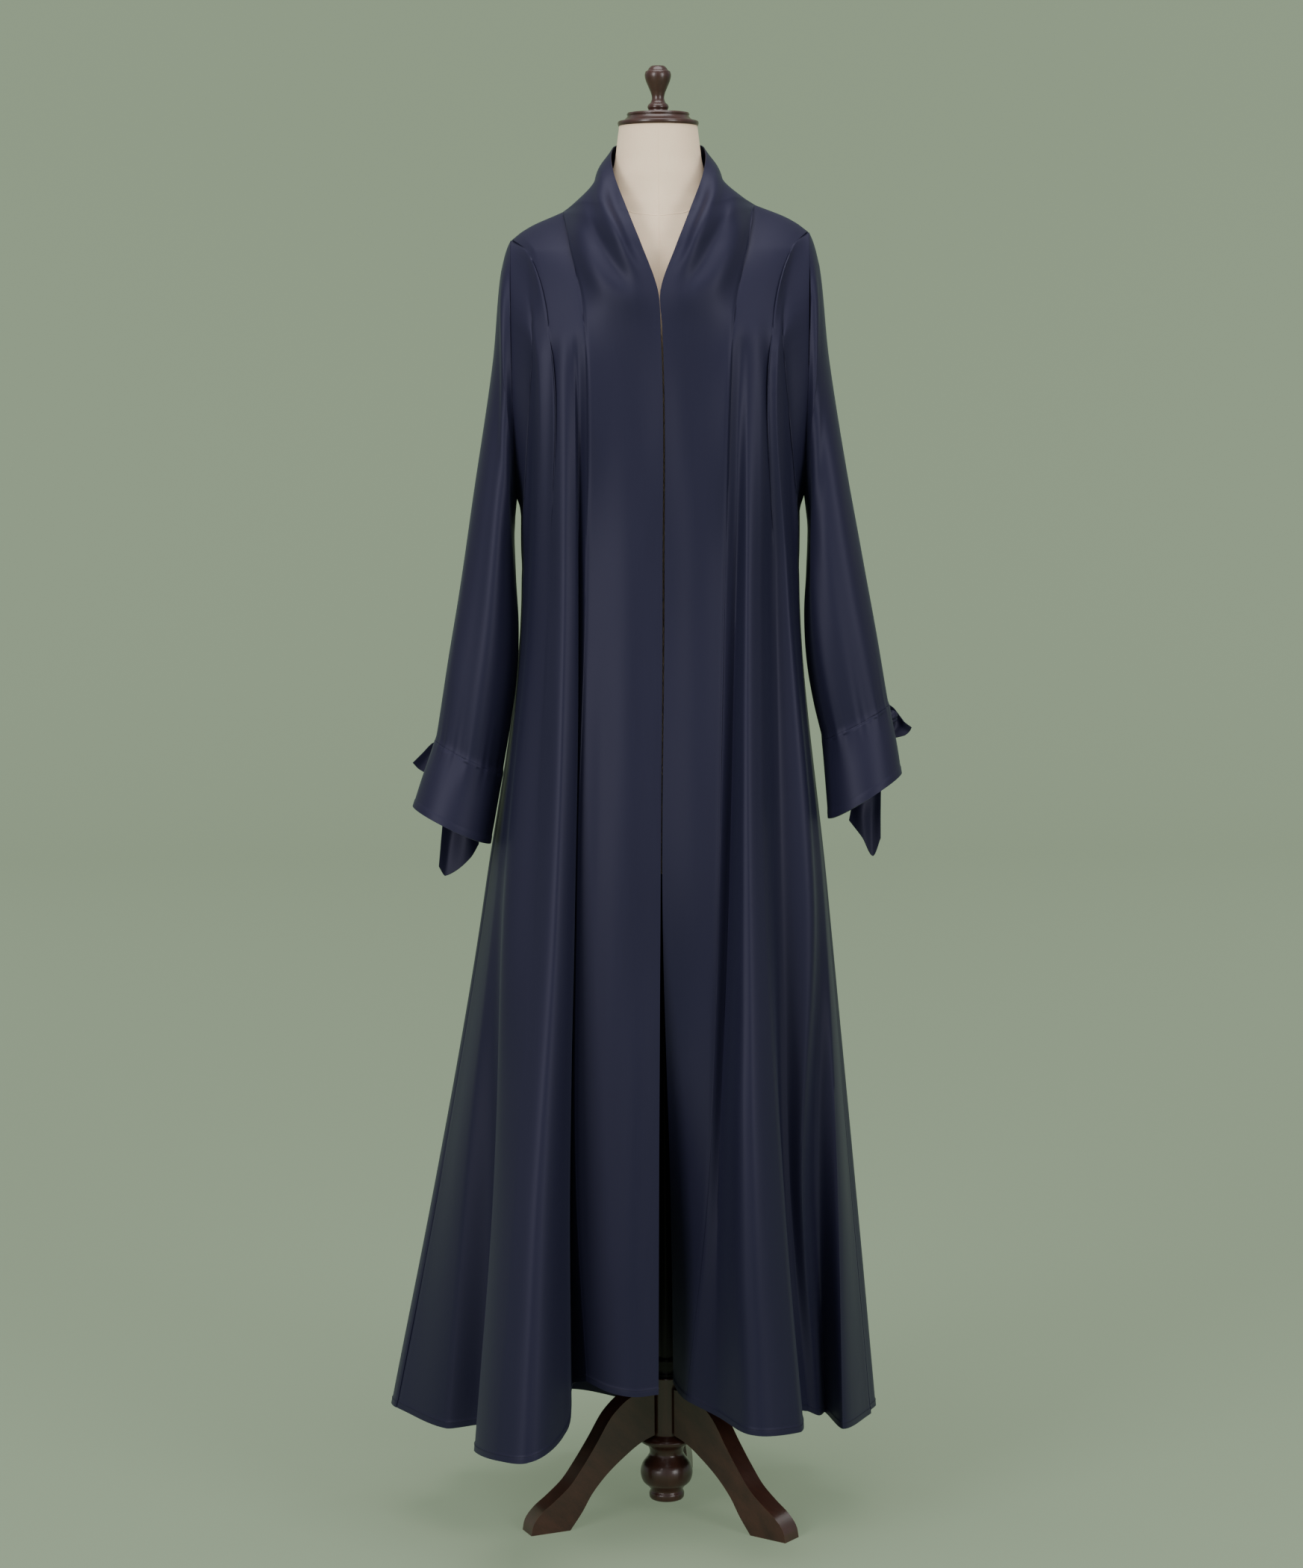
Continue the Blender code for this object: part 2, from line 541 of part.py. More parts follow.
def make_garment():
    panels = {side: panel_columns(side) for side in (-1, 1)}
    sides = {side: side_columns(side, panels[side][-1][:BODY_ROWS + 1]) for side in (-1, 1)}
    halves = {}
    for side in (-1, 1):
        front_tops = sides[side][:, -1][::-1].copy()
        front_tops[1:ARMHOLE_STEPS, 1] *= -1
        neck_tops = panels[side][-1][BODY_ROWS + 1:].copy()
        neck_tops[:, 2] -= NECK_SEAM_DROP
        neck_tops[-1][0] = 0.0
        tops = list(front_tops) + list(neck_tops)
        halves[side] = back_half(side, sides[side][-1], tops)
    centre = (halves[-1][-1] + halves[1][-1]) / 2
    halves[-1][-1] = centre
    halves[1][-1] = centre

    left = [panels[-1][:, :BODY_ROWS + 1], sides[-1][1:], halves[-1][1:]]
    right = [halves[1][-2:0:-1], sides[1][:0:-1], panels[1][::-1, :BODY_ROWS + 1]]
    ring = np.concatenate(left + right)
    normals = -grid_normals(ring)
    panel_count = panels[-1].shape[0]
    side_count = sides[-1].shape[0]
    start = panel_count - 1
    left_side = slice(start, start + side_count)
    back = slice(start + side_count - 1, len(ring) - (start + side_count - 1))
    right_side = slice(len(ring) - (start + side_count), len(ring) - start)

    collars = {-1: -grid_normals(panels[-1]), 1: grid_normals(panels[1])}
    collars[-1][:, :BODY_ROWS] = normals[:panel_count, :BODY_ROWS]
    collars[1][:, :BODY_ROWS] = normals[len(ring) - panel_count:, :BODY_ROWS][::-1]

    back_grid = ring[back]
    back_normals = normals[back].copy()
    side_normals = {-1: normals[left_side].copy(), 1: normals[right_side][::-1].copy()}
    side_grids = {-1: ring[left_side], 1: ring[right_side][::-1]}
    count = len(back_grid)
    for side in (-1, 1):
        for k in range(ARMHOLE_STEPS, side_count):
            at = k if side < 0 else count - 1 - k
            mate = side_count - 1 - k
            both = unit(back_normals[at, -1] + side_normals[side][mate, -1])
            back_normals[at, -1] = both
            side_normals[side][mate, -1] = both
        for k in range(sum(COLLAR_ROWS) + 1):
            at = side_count - 1 + k
            at = at if side < 0 else count - 1 - at
            row = BODY_ROWS + k
            both = unit(back_normals[at, -1] + collars[side][-1, row])
            back_normals[at, -1] = both
            collars[side][-1, row] = both
    middle = count // 2
    nape = back_normals[middle, -1] * np.array([0.0, 1.0, 1.0])
    back_normals[middle, -1] = unit(nape)
    for side in (-1, 1):
        side_normals[side][0, -1] = collars[side][-1, BODY_ROWS]
        collars[side][:, -1, 0] = 0.0
        collars[side][:, -1] = unit(collars[side][:, -1])
        collars[side][-1, -1] = back_normals[middle, -1]

    seam = SEAM_GAP / 2
    for side, word in ((-1, "left"), (1, "right")):
        panel = pull_in(panels[side], 0, seam, 0, seam)
        shell("front_panel_" + word, panel, collars[side], SATIN)
        grid = pull_in(side_grids[side], seam, seam, 0, seam)
        shell("side_front_" + word, grid, side_normals[side], SATIN)
    shell("back", pull_in(back_grid, seam, seam, 0, NECK_SEAM_GAP - seam), back_normals, SATIN)


def ring_grid(side, table, rows):
    """Closed rings of a sleeve or cuff, first index round, second from top to bottom."""
    fine = spline(table, np.linspace(0, len(table) - 1, rows + 1))
    angles = [math.pi * k / ARMHOLE_STEPS for k in range(2 * ARMHOLE_STEPS)]
    return np.array([[ring_point(side, row, angle) for row in fine] for angle in angles])


def make_sleeve(side, word):
    grid = ring_grid(side, sleeve_table(side), SLEEVE_ROWS)
    for k in range(len(grid)):
        angle = math.pi * k / ARMHOLE_STEPS
        open_share = 0.5 - 0.5 * math.cos(min(math.pi, 1.6 * min(angle, 2 * math.pi - angle)))
        grid[k, 0, 0] += side * (ARMHOLE_GAP + ARMHOLE_EASE * open_share)
    grid[:, -1] += unit(grid[:, -2] - grid[:, -1]) * SEAM_GAP / 2
    normals = grid_normals(grid, closed=True) * -side
    shell("sleeve_" + word, grid, normals, SATIN, closed=True)
    return normals


def make_cuff(side, word, sleeve_normals):
    table = LEFT_CUFF if side < 0 else RIGHT_CUFF
    grid = ring_grid(side, table, CUFF_ROWS)
    grid[:, 0] = ring_grid(side, sleeve_table(side), 1)[:, -1]
    normals = grid_normals(grid, closed=True) * -side
    normals[:, 0] = sleeve_normals[:, -1]
    grid[:, 0] += unit(grid[:, 1] - grid[:, 0]) * SEAM_GAP / 2
    shell("cuff_" + word, grid, normals, SATIN, closed=True)


def strip(name, side, stations):
    """Flat tie end: a strip along its stations, widest across the view from the front."""
    path = np.array([(side * s[0], s[1], s[2]) for s in stations])
    steps = np.gradient(path, axis=0)
    points = []
    for place, step, station in zip(path, steps, stations):
        forward = unit(step)
        face = unit(np.array([0.25 * side, 1.0, 0.0]) - forward * forward[1])
        across = unit(np.cross(forward, face))
        face = np.cross(across, forward)
        wide = across * station[3] / 2
        thick = face * TIE_THICKNESS / 2
        points += [place - wide - thick, place + wide - thick,
                   place + wide + thick, place - wide + thick]
    faces = [(3, 2, 1, 0)]
    for k in range(len(path) - 1):
        low, high = 4 * k, 4 * k + 4
        for a in range(4):
            b = (a + 1) % 4
            faces.append((low + a, low + b, high + b, high + a))
    end = 4 * (len(path) - 1)
    faces.append((end, end + 1, end + 2, end + 3))
    item = add_object(name, points, faces, SATIN)
    face_outwards(item)


def make_tie(side, word):
    parts = TIES[word]
    centre = parts["knot"]
    profile = [(math.sin(math.pi * k / 8), math.cos(math.pi * k / 8)) for k in range(1, 8)]
    unit_knot = turned("tie_knot_" + word, profile, SATIN, 12)
    for vertex in unit_knot.data.vertices:
        vertex.co.x = side * centre[0] + KNOT_RADII[0] * vertex.co.x
        vertex.co.y = centre[1] + KNOT_RADII[1] * vertex.co.y
        vertex.co.z = centre[2] + KNOT_RADII[2] * vertex.co.z
    strip("tie_tail_upper_" + word, side, parts["tail_upper"])
    strip("tie_tail_hanging_" + word, side, parts["tail_hanging"])


def turned(name, profile, finish, segments=TURN_SEGMENTS, axis=(0.0, 0.0)):
    """Solid of revolution from a profile of radius and height, closed by flat ends."""
    points = []
    for radius, z in profile:
        for k in range(segments):
            angle = 2 * math.pi * k / segments
            points.append((axis[0] + radius * math.cos(angle), axis[1] + radius * math.sin(angle), z))
    faces = []
    for ring in range(len(profile) - 1):
        for k in range(segments):
            n = (k + 1) % segments
            a, b = ring * segments + k, ring * segments + n
            faces.append((b, a, a + segments, b + segments))
    faces.append(tuple(range(segments)))
    last = (len(profile) - 1) * segments
    faces.append(tuple(last + k for k in range(segments - 1, -1, -1)))
    item = add_object(name, points, faces, finish)
    face_outwards(item)
    return item


def make_form():
    points = []
    for z, half_width, half_depth, power in FORM_RINGS:
        for k in range(FORM_SEGMENTS):
            angle = 2 * math.pi * k / FORM_SEGMENTS
            x = math.copysign(abs(math.cos(angle)) ** (2 / power), math.cos(angle))
            y = math.copysign(abs(math.sin(angle)) ** (2 / power), math.sin(angle))
            points.append((half_width * x, half_depth * y, z))
    faces = [tuple(range(FORM_SEGMENTS - 1, -1, -1))]
    for ring in range(len(FORM_RINGS) - 1):
        for k in range(FORM_SEGMENTS):
            n = (k + 1) % FORM_SEGMENTS
            a, b = ring * FORM_SEGMENTS + k, ring * FORM_SEGMENTS + n
            faces.append((a, b, b + FORM_SEGMENTS, a + FORM_SEGMENTS))
    last = (len(FORM_RINGS) - 1) * FORM_SEGMENTS
    faces.append(tuple(last + k for k in range(FORM_SEGMENTS)))
    face_outwards(add_object("form_body", points, faces, LINEN))


def make_leg(name, bearing):
    """Sawn leg: the outline in the upright plane of its bearing, given the plank's thickness."""
    turn = math.radians(bearing)
    outward = Vector((math.sin(turn), -math.cos(turn), 0))
    across = Vector((math.cos(turn), math.sin(turn), 0)) * LEG_THICKNESS / 2
    count = len(LEG_OUTLINE)
    points = []
    for sign in (-1, 1):
        points += [outward * r + Vector((0, 0, z)) + across * sign for r, z in LEG_OUTLINE]
    faces = [tuple(range(count)), tuple(range(2 * count - 1, count - 1, -1))]
    for k in range(count):
        n = (k + 1) % count
        faces.append((n, k, k + count, n + count))
    face_outwards(add_object(name, points, faces, WOOD))


def make_stand():
    make_form()
    turned("neck_cap", CAP_PROFILE, WOOD, 28)
    turned("finial", FINIAL_PROFILE, WOOD, 20)
    turned("column", COLUMN_PROFILE, WOOD)
    turned("pole_collar", POLE_COLLAR_PROFILE, STEEL, 20)
    pole_top = FORM_BASE_Z - SEAM_GAP
    pole_foot = POLE_COLLAR_PROFILE[0][1] + SEAM_GAP
    turned("pole", ((POLE_RADIUS, pole_top), (POLE_RADIUS, pole_foot)), STEEL, 20)
    for name, bearing in LEG_BEARINGS.items():
        make_leg(name, bearing)


def centre_on_origin():
    """Put the middle of the whole part's footprint on the Z axis."""
    corners = []
    for item in bpy.data.objects:
        corners += [vertex.co.copy() for vertex in item.data.vertices]
    middle_x = (min(p.x for p in corners) + max(p.x for p in corners)) / 2
    middle_y = (min(p.y for p in corners) + max(p.y for p in corners)) / 2
    for item in bpy.data.objects:
        for vertex in item.data.vertices:
            vertex.co.x -= middle_x
            vertex.co.y -= middle_y
    print("axis of the stand at", round(-middle_x, 5), round(-middle_y, 5))


def main():
    clear_scene()
    make_garment()
    for side, word in ((-1, "left"), (1, "right")):
        normals = make_sleeve(side, word)
        make_cuff(side, word, normals)
        make_tie(side, word)
    make_stand()
    centre_on_origin()


main()
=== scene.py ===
# %% [markdown]
# # A satin abaya on a dress form
#
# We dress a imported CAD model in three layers: cloth that hangs in long folds, a linen
# dress form, and a stand of turned wood. The CAD solids give the true places, so every
# piece here is built from the same named sizes, only much finer. Metres throughout,
# +Z up, and the open front looks towards -Y.

# %% Load the frame
import math

import bmesh
import bpy
import numpy as np
from mathutils import Matrix, Vector, noise


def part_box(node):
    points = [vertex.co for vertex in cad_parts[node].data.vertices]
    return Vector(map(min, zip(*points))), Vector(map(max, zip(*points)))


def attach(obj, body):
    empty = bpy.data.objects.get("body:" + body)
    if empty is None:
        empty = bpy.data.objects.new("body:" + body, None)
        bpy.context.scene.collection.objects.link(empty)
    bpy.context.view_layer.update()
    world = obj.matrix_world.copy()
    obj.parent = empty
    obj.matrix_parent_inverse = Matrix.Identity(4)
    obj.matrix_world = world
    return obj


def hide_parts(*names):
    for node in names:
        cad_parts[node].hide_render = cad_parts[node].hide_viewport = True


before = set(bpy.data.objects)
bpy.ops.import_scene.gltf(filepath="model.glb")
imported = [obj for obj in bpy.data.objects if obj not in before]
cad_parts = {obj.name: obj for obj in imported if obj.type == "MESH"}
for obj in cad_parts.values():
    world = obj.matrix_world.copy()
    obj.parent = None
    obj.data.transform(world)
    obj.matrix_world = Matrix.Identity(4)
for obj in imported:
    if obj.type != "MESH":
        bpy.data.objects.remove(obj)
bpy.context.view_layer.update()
pole_low, pole_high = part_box("pole")
AXIS = (pole_low + pole_high) / 2
AXIS.z = 0.0
print("axis of the stand:", [round(v, 4) for v in AXIS])

# %% [markdown]
# ## Camera
#
# The garment was photographed from about chest height with a long lens, the camera
# tipped a little downwards. A long lens keeps the hem from looking larger than the
# collar. We make the camera first, so that every later step can be judged through it.

# %% Camera
CAMERA_DISTANCE = 4.30
CAMERA_HEIGHT = 1.41
CAMERA_TILT = math.radians(6.25)
CAMERA_ROLL = math.radians(-0.36)
LENS = 79.3
FRAME_SHIFT = -0.0069

lens = bpy.data.cameras.new("camera")
lens.lens = LENS
lens.sensor_width = 36.0
lens.shift_x = FRAME_SHIFT
camera = bpy.data.objects.new("camera", lens)
bpy.context.collection.objects.link(camera)
aim = Matrix.Rotation(math.pi / 2 - CAMERA_TILT, 4, "X") @ Matrix.Rotation(CAMERA_ROLL, 4, "Z")
camera.matrix_world = Matrix.Translation((AXIS.x, AXIS.y - CAMERA_DISTANCE, CAMERA_HEIGHT)) @ aim
bpy.context.scene.camera = camera
print("camera looks", round(math.degrees(CAMERA_TILT), 2), "degrees down")

# %% [markdown]
# ## Floor and backdrop
#
# A roll of pale sage paper runs along the floor and sweeps up behind the stand. One
# curved sheet has no corner, so no line crosses the picture.

# %% Paper sweep
SWEEP_HALF_WIDTH = 12.0
SWEEP_FRONT = -9.0
SWEEP_BACK = 9.0
SWEEP_RADIUS = 2.5
SWEEP_TOP = 8.0

profile = [(SWEEP_FRONT, 0.0), (SWEEP_BACK - SWEEP_RADIUS, 0.0)]
for step in range(1, 25):
    turn = math.pi / 2 * step / 24
    profile.append((SWEEP_BACK - SWEEP_RADIUS * (1 - math.sin(turn)), SWEEP_RADIUS * (1 - math.cos(turn))))
profile.append((SWEEP_BACK, SWEEP_TOP))
corners = [(x, y, z) for y, z in profile for x in (-SWEEP_HALF_WIDTH, SWEEP_HALF_WIDTH)]
strips = [(2 * k, 2 * k + 1, 2 * k + 3, 2 * k + 2) for k in range(len(profile) - 1)]
paper_mesh = bpy.data.meshes.new("paper_sweep")
paper_mesh.from_pydata(corners, [], strips)
paper_mesh.shade_smooth()
paper = bpy.data.objects.new("paper_sweep", paper_mesh)
bpy.context.collection.objects.link(paper)

PAPER_COLOUR = (0.160, 0.204, 0.138)
PAPER_GLOW = 0.95
paper_look = bpy.data.materials.new("sage_paper")
paper_look.use_nodes = True
paper_shader = paper_look.node_tree.nodes["Principled BSDF"]
paper_shader.inputs["Base Color"].default_value = (*PAPER_COLOUR, 1)
paper_shader.inputs["Roughness"].default_value = 0.95
paper_shader.inputs["Specular IOR Level"].default_value = 0.1
paper_shader.inputs["Emission Color"].default_value = (*PAPER_COLOUR, 1)
paper_shader.inputs["Emission Strength"].default_value = PAPER_GLOW
paper_mesh.materials.append(paper_look)
print("sweep:", len(strips), "strips")

# %% [markdown]
# ## Light
#
# Dark satin only shows its folds where something bright is mirrored in it. Two tall
# soft boxes stand to the left and right of the camera, a wide one hangs above, and a
# pale room fills the shadows.

# %% Soft boxes
def soft_box(name, place, target, width, height, power, colour=(1.0, 1.0, 1.0)):
    light = bpy.data.lights.new(name, "AREA")
    light.shape = "RECTANGLE"
    light.size = width
    light.size_y = height
    light.energy = power
    light.color = colour
    item = bpy.data.objects.new(name, light)
    item.location = place
    item.rotation_euler = (Vector(target) - Vector(place)).to_track_quat("-Z", "Y").to_euler()
    bpy.context.collection.objects.link(item)
    return item


soft_box("key_left", (-2.6, -3.4, 2.3), (0, 0, 1.0), 1.6, 2.6, 105)
soft_box("key_right", (2.7, -3.2, 2.0), (0, 0, 0.9), 1.4, 2.6, 72)
soft_box("top", (0.0, -0.8, 4.2), (0, 0, 1.0), 3.0, 2.0, 85)
soft_box("backdrop_left", (-5.0, 3.5, 4.2), (-2.0, 9.0, 1.8), 2.5, 3.0, 150)
soft_box("backdrop_right", (5.0, 3.5, 4.2), (2.0, 9.0, 1.8), 2.5, 3.0, 150)

WORLD_STRENGTH = 0.42
room = bpy.data.worlds.new("pale_room")
bpy.context.scene.world = room
room.use_nodes = True
room.node_tree.nodes["Background"].inputs["Color"].default_value = (0.97, 0.96, 0.97, 1)
room.node_tree.nodes["Background"].inputs["Strength"].default_value = WORLD_STRENGTH

# %% [markdown]
# ## Shader groups
#
# Satin, linen and wood each need colour, roughness and height that vary over the
# surface. A node group holds one such effect with named inputs. It is built once and
# then placed inside each material, where the Principled shader itself stays.

# %% Small helpers for node trees
def new_group(name, inputs, outputs):
    """Empty shader group; inputs are (name, kind, value), outputs are (name, kind)."""
    group = bpy.data.node_groups.new(name, "ShaderNodeTree")
    for label, kind, value in inputs:
        socket = group.interface.new_socket(label, in_out="INPUT", socket_type="NodeSocket" + kind)
        if value is not None:
            socket.default_value = value
    for label, kind in outputs:
        group.interface.new_socket(label, in_out="OUTPUT", socket_type="NodeSocket" + kind)
    return group, group.nodes.new("NodeGroupInput"), group.nodes.new("NodeGroupOutput")


def math_node(tree, operation, first, second=None, third=None):
    node = tree.nodes.new("ShaderNodeMath")
    node.operation = operation
    for k, value in enumerate((first, second, third)):
        if value is None:
            continue
        if isinstance(value, (int, float)):
            node.inputs[k].default_value = value
        else:
            tree.links.new(value, node.inputs[k])
    return node.outputs[0]


def noise_node(tree, vector, scale, detail=3.0, roughness=0.5):
    node = tree.nodes.new("ShaderNodeTexNoise")
    node.inputs["Scale"].default_value = scale
    node.inputs["Detail"].default_value = detail
    node.inputs["Roughness"].default_value = roughness
    tree.links.new(vector, node.inputs["Vector"])
    return node.outputs["Fac"]


def scaled(tree, vector, amounts):
    node = tree.nodes.new("ShaderNodeMapping")
    node.inputs["Scale"].default_value = amounts
    tree.links.new(vector, node.inputs["Vector"])
    return node.outputs["Vector"]


def mix_colour(tree, share, first, second):
    node = tree.nodes.new("ShaderNodeMix")
    node.data_type = "RGBA"
    for socket, value in ((node.inputs[0], share), (node.inputs[6], first), (node.inputs[7], second)):
        if isinstance(value, (int, float)):
            socket.default_value = value
        elif isinstance(value, tuple):
            socket.default_value = value
        else:
            tree.links.new(value, socket)
    return node.outputs[2]


print("helpers ready")

# %% [markdown]
# Satin floats long warp threads over the weft, so it shines along one direction and
# has only a faint diagonal grain. The group reads a vector in metres that follows the
# cloth, draws fine warp ribs broken by sparse binding points, and adds the slow
# handling marks that a big soft panel always carries.

# %% Satin group
satin_group, entry, exit_ = new_group(
    "satin_weave",
    [("Cloth", "Vector", None), ("Place", "Vector", None), ("Thread", "Float", 0.00035),
     ("Deep", "Color", (0.010, 0.012, 0.030, 1)), ("Bright", "Color", (0.030, 0.034, 0.075, 1)),
     ("Base Roughness", "Float", 0.42)],
    [("Colour", "Color"), ("Roughness", "Float"), ("Weave", "Float"), ("Handling", "Float")])
split = satin_group.nodes.new("ShaderNodeSeparateXYZ")
satin_group.links.new(entry.outputs["Cloth"], split.inputs[0])
across = math_node(satin_group, "DIVIDE", split.outputs["X"], entry.outputs["Thread"])
down = math_node(satin_group, "DIVIDE", split.outputs["Y"], entry.outputs["Thread"])
rib = math_node(satin_group, "SINE", math_node(satin_group, "MULTIPLY", across, 2 * math.pi))
shifted = math_node(satin_group, "MULTIPLY_ADD", across, 0.4, math_node(satin_group, "MULTIPLY", down, 0.2))
tie_point = math_node(satin_group, "SINE", math_node(satin_group, "MULTIPLY", shifted, 2 * math.pi))
tie_point = math_node(satin_group, "POWER", math_node(satin_group, "MAXIMUM", tie_point, 0.0), 3.0)
weave = math_node(satin_group, "SUBTRACT", math_node(satin_group, "MULTIPLY", rib, 0.35), tie_point)
slow = noise_node(satin_group, scaled(satin_group, entry.outputs["Place"], (1.0, 1.0, 0.35)), 9.0, 4.0, 0.55)
slub = noise_node(satin_group, scaled(satin_group, entry.outputs["Cloth"], (900.0, 14.0, 1.0)), 1.0, 2.0, 0.5)
shade = math_node(satin_group, "ADD", math_node(satin_group, "MULTIPLY", slow, 0.55),
                  math_node(satin_group, "MULTIPLY", slub, 0.45))
colour = mix_colour(satin_group, shade, entry.outputs["Deep"], entry.outputs["Bright"])
rough = math_node(satin_group, "MULTIPLY_ADD", math_node(satin_group, "SUBTRACT", slow, 0.5), 0.14,
                  entry.outputs["Base Roughness"])
rough = math_node(satin_group, "MULTIPLY_ADD", math_node(satin_group, "SUBTRACT", slub, 0.5), 0.06, rough)
satin_group.links.new(colour, exit_.inputs["Colour"])
satin_group.links.new(rough, exit_.inputs["Roughness"])
satin_group.links.new(weave, exit_.inputs["Weave"])
satin_group.links.new(slow, exit_.inputs["Handling"])
print("satin group:", len(satin_group.nodes), "nodes")

# %% [markdown]
# Linen is a plain weave of uneven threads: over one, under one, with thick slubs. Two
# waves at right angles make the weave, and stretched noise thickens single threads.

# %% Linen group
linen_group, entry, exit_ = new_group(
    "plain_weave",
    [("Cloth", "Vector", None), ("Thread", "Float", 0.0006),
     ("Shadow", "Color", (0.92, 0.63, 0.43, 1)), ("Thread Colour", "Color", (1.0, 0.84, 0.61, 1))],
    [("Colour", "Color"), ("Height", "Float")])
split = linen_group.nodes.new("ShaderNodeSeparateXYZ")
linen_group.links.new(entry.outputs["Cloth"], split.inputs[0])
waves = []
for axis in ("X", "Y"):
    turns = math_node(linen_group, "DIVIDE", split.outputs[axis], entry.outputs["Thread"])
    waves.append(math_node(linen_group, "SINE", math_node(linen_group, "MULTIPLY", turns, math.pi)))
weave = math_node(linen_group, "MULTIPLY", waves[0], waves[1])
slub_across = noise_node(linen_group, scaled(linen_group, entry.outputs["Cloth"], (60.0, 1300.0, 1.0)), 1.0, 2.0)
slub_down = noise_node(linen_group, scaled(linen_group, entry.outputs["Cloth"], (1300.0, 60.0, 1.0)), 1.0, 2.0)
slubs = math_node(linen_group, "ADD", slub_across, slub_down)
blotch = noise_node(linen_group, entry.outputs["Cloth"], 14.0, 3.0)
shade = math_node(linen_group, "MULTIPLY_ADD", weave, 0.18, math_node(linen_group, "MULTIPLY", slubs, 0.42))
shade = math_node(linen_group, "MULTIPLY_ADD", blotch, 0.30, shade)
colour = mix_colour(linen_group, shade, entry.outputs["Shadow"], entry.outputs["Thread Colour"])
height = math_node(linen_group, "MULTIPLY_ADD", slubs, 0.8, math_node(linen_group, "MULTIPLY", weave, 0.5))
linen_group.links.new(colour, exit_.inputs["Colour"])
linen_group.links.new(height, exit_.inputs["Height"])
print("linen group:", len(linen_group.nodes), "nodes")

# %% [markdown]
# The stand is a close-grained hardwood under dark stain. Grain is noise pulled out
# along the length of the board or the axis of the lathe. Lighter edges come from a
# second group that compares a rounded normal with the true one; they are partly rubbed
# wear and partly a painted highlight along each edge.

# %% Wood group
wood_group, entry, exit_ = new_group(
    "stained_grain",
    [("Along Grain", "Vector", None), ("Dark", "Color", (0.016, 0.0060, 0.0042, 1)),
     ("Warm", "Color", (0.062, 0.0215, 0.0135, 1)), ("Base Roughness", "Float", 0.26)],
    [("Colour", "Color"), ("Roughness", "Float"), ("Height", "Float")])
bands = noise_node(wood_group, scaled(wood_group, entry.outputs["Along Grain"], (55.0, 55.0, 5.0)), 1.0, 5.0, 0.6)
pores = noise_node(wood_group, scaled(wood_group, entry.outputs["Along Grain"], (900.0, 900.0, 40.0)), 1.0, 2.0)
tone = math_node(wood_group, "MULTIPLY_ADD", pores, 0.25, math_node(wood_group, "MULTIPLY", bands, 0.75))
tone = math_node(wood_group, "MULTIPLY_ADD", math_node(wood_group, "SUBTRACT", tone, 0.5), 2.2, 0.5)
tone = math_node(wood_group, "MINIMUM", math_node(wood_group, "MAXIMUM", tone, 0.0), 1.0)
colour = mix_colour(wood_group, tone, entry.outputs["Dark"], entry.outputs["Warm"])
rough = math_node(wood_group, "MULTIPLY_ADD", pores, 0.16, entry.outputs["Base Roughness"])
wood_group.links.new(colour, exit_.inputs["Colour"])
wood_group.links.new(rough, exit_.inputs["Roughness"])
wood_group.links.new(pores, exit_.inputs["Height"])
print("wood group:", len(wood_group.nodes), "nodes")

# %% Edge wear and painted highlight group
wear_and_highlight_group, entry, exit_ = new_group(
    "rubbed_and_highlit_edges",
    [("Radius", "Float", 0.0015), ("Place", "Vector", None), ("Strength", "Float", 1.0)],
    [("Mask", "Float")])
rounded = wear_and_highlight_group.nodes.new("ShaderNodeBevel")
rounded.samples = 6
wear_and_highlight_group.links.new(entry.outputs["Radius"], rounded.inputs["Radius"])
true_normal = wear_and_highlight_group.nodes.new("ShaderNodeNewGeometry")
compare = wear_and_highlight_group.nodes.new("ShaderNodeVectorMath")
compare.operation = "DOT_PRODUCT"
wear_and_highlight_group.links.new(rounded.outputs[0], compare.inputs[0])
wear_and_highlight_group.links.new(true_normal.outputs["Normal"], compare.inputs[1])
# The mask lightens every edge: partly rubbed wear, partly a painted highlight where an edge would catch the light.
edge = math_node(wear_and_highlight_group, "MULTIPLY", math_node(wear_and_highlight_group, "SUBTRACT", 1.0, compare.outputs["Value"]), 5.0)
patchy = noise_node(wear_and_highlight_group, entry.outputs["Place"], 45.0, 4.0)
mask = math_node(wear_and_highlight_group, "MULTIPLY", edge, math_node(wear_and_highlight_group, "MULTIPLY", patchy, entry.outputs["Strength"]))
mask = math_node(wear_and_highlight_group, "MINIMUM", mask, 1.0)
wear_and_highlight_group.links.new(mask, exit_.inputs["Mask"])
print("edge wear group:", len(wear_and_highlight_group.nodes), "nodes")

# %% [markdown]
# ## Materials
#
# Each material holds its own Principled shader. Numbers that don't vary, such as sheen
# and specular level, are typed straight into its sockets.

# %% Cloth materials
def blank_material(name, colour):
    shade = bpy.data.materials.new(name)
    shade.use_nodes = True
    shade.diffuse_color = (*colour, 1)
    tree = shade.node_tree
    return shade, tree, tree.nodes["Principled BSDF"]


def place_group(tree, group, **values):
    node = tree.nodes.new("ShaderNodeGroup")
    node.node_tree = group
    for label, value in values.items():
        label = label.replace("_", " ")
        if isinstance(value, bpy.types.NodeSocket):
            tree.links.new(value, node.inputs[label])
        else:
            node.inputs[label].default_value = value
    return node


def add_bump(tree, shader, *layers):
    """Chain of bump nodes, each (height socket, strength, distance in metres)."""
    normal = None
    for height, strength, distance in layers:
        bump = tree.nodes.new("ShaderNodeBump")
        bump.inputs["Strength"].default_value = strength
        bump.inputs["Distance"].default_value = distance
        tree.links.new(height, bump.inputs["Height"])
        if normal is not None:
            tree.links.new(normal, bump.inputs["Normal"])
        normal = bump.outputs["Normal"]
    tree.links.new(normal, shader.inputs["Normal"])


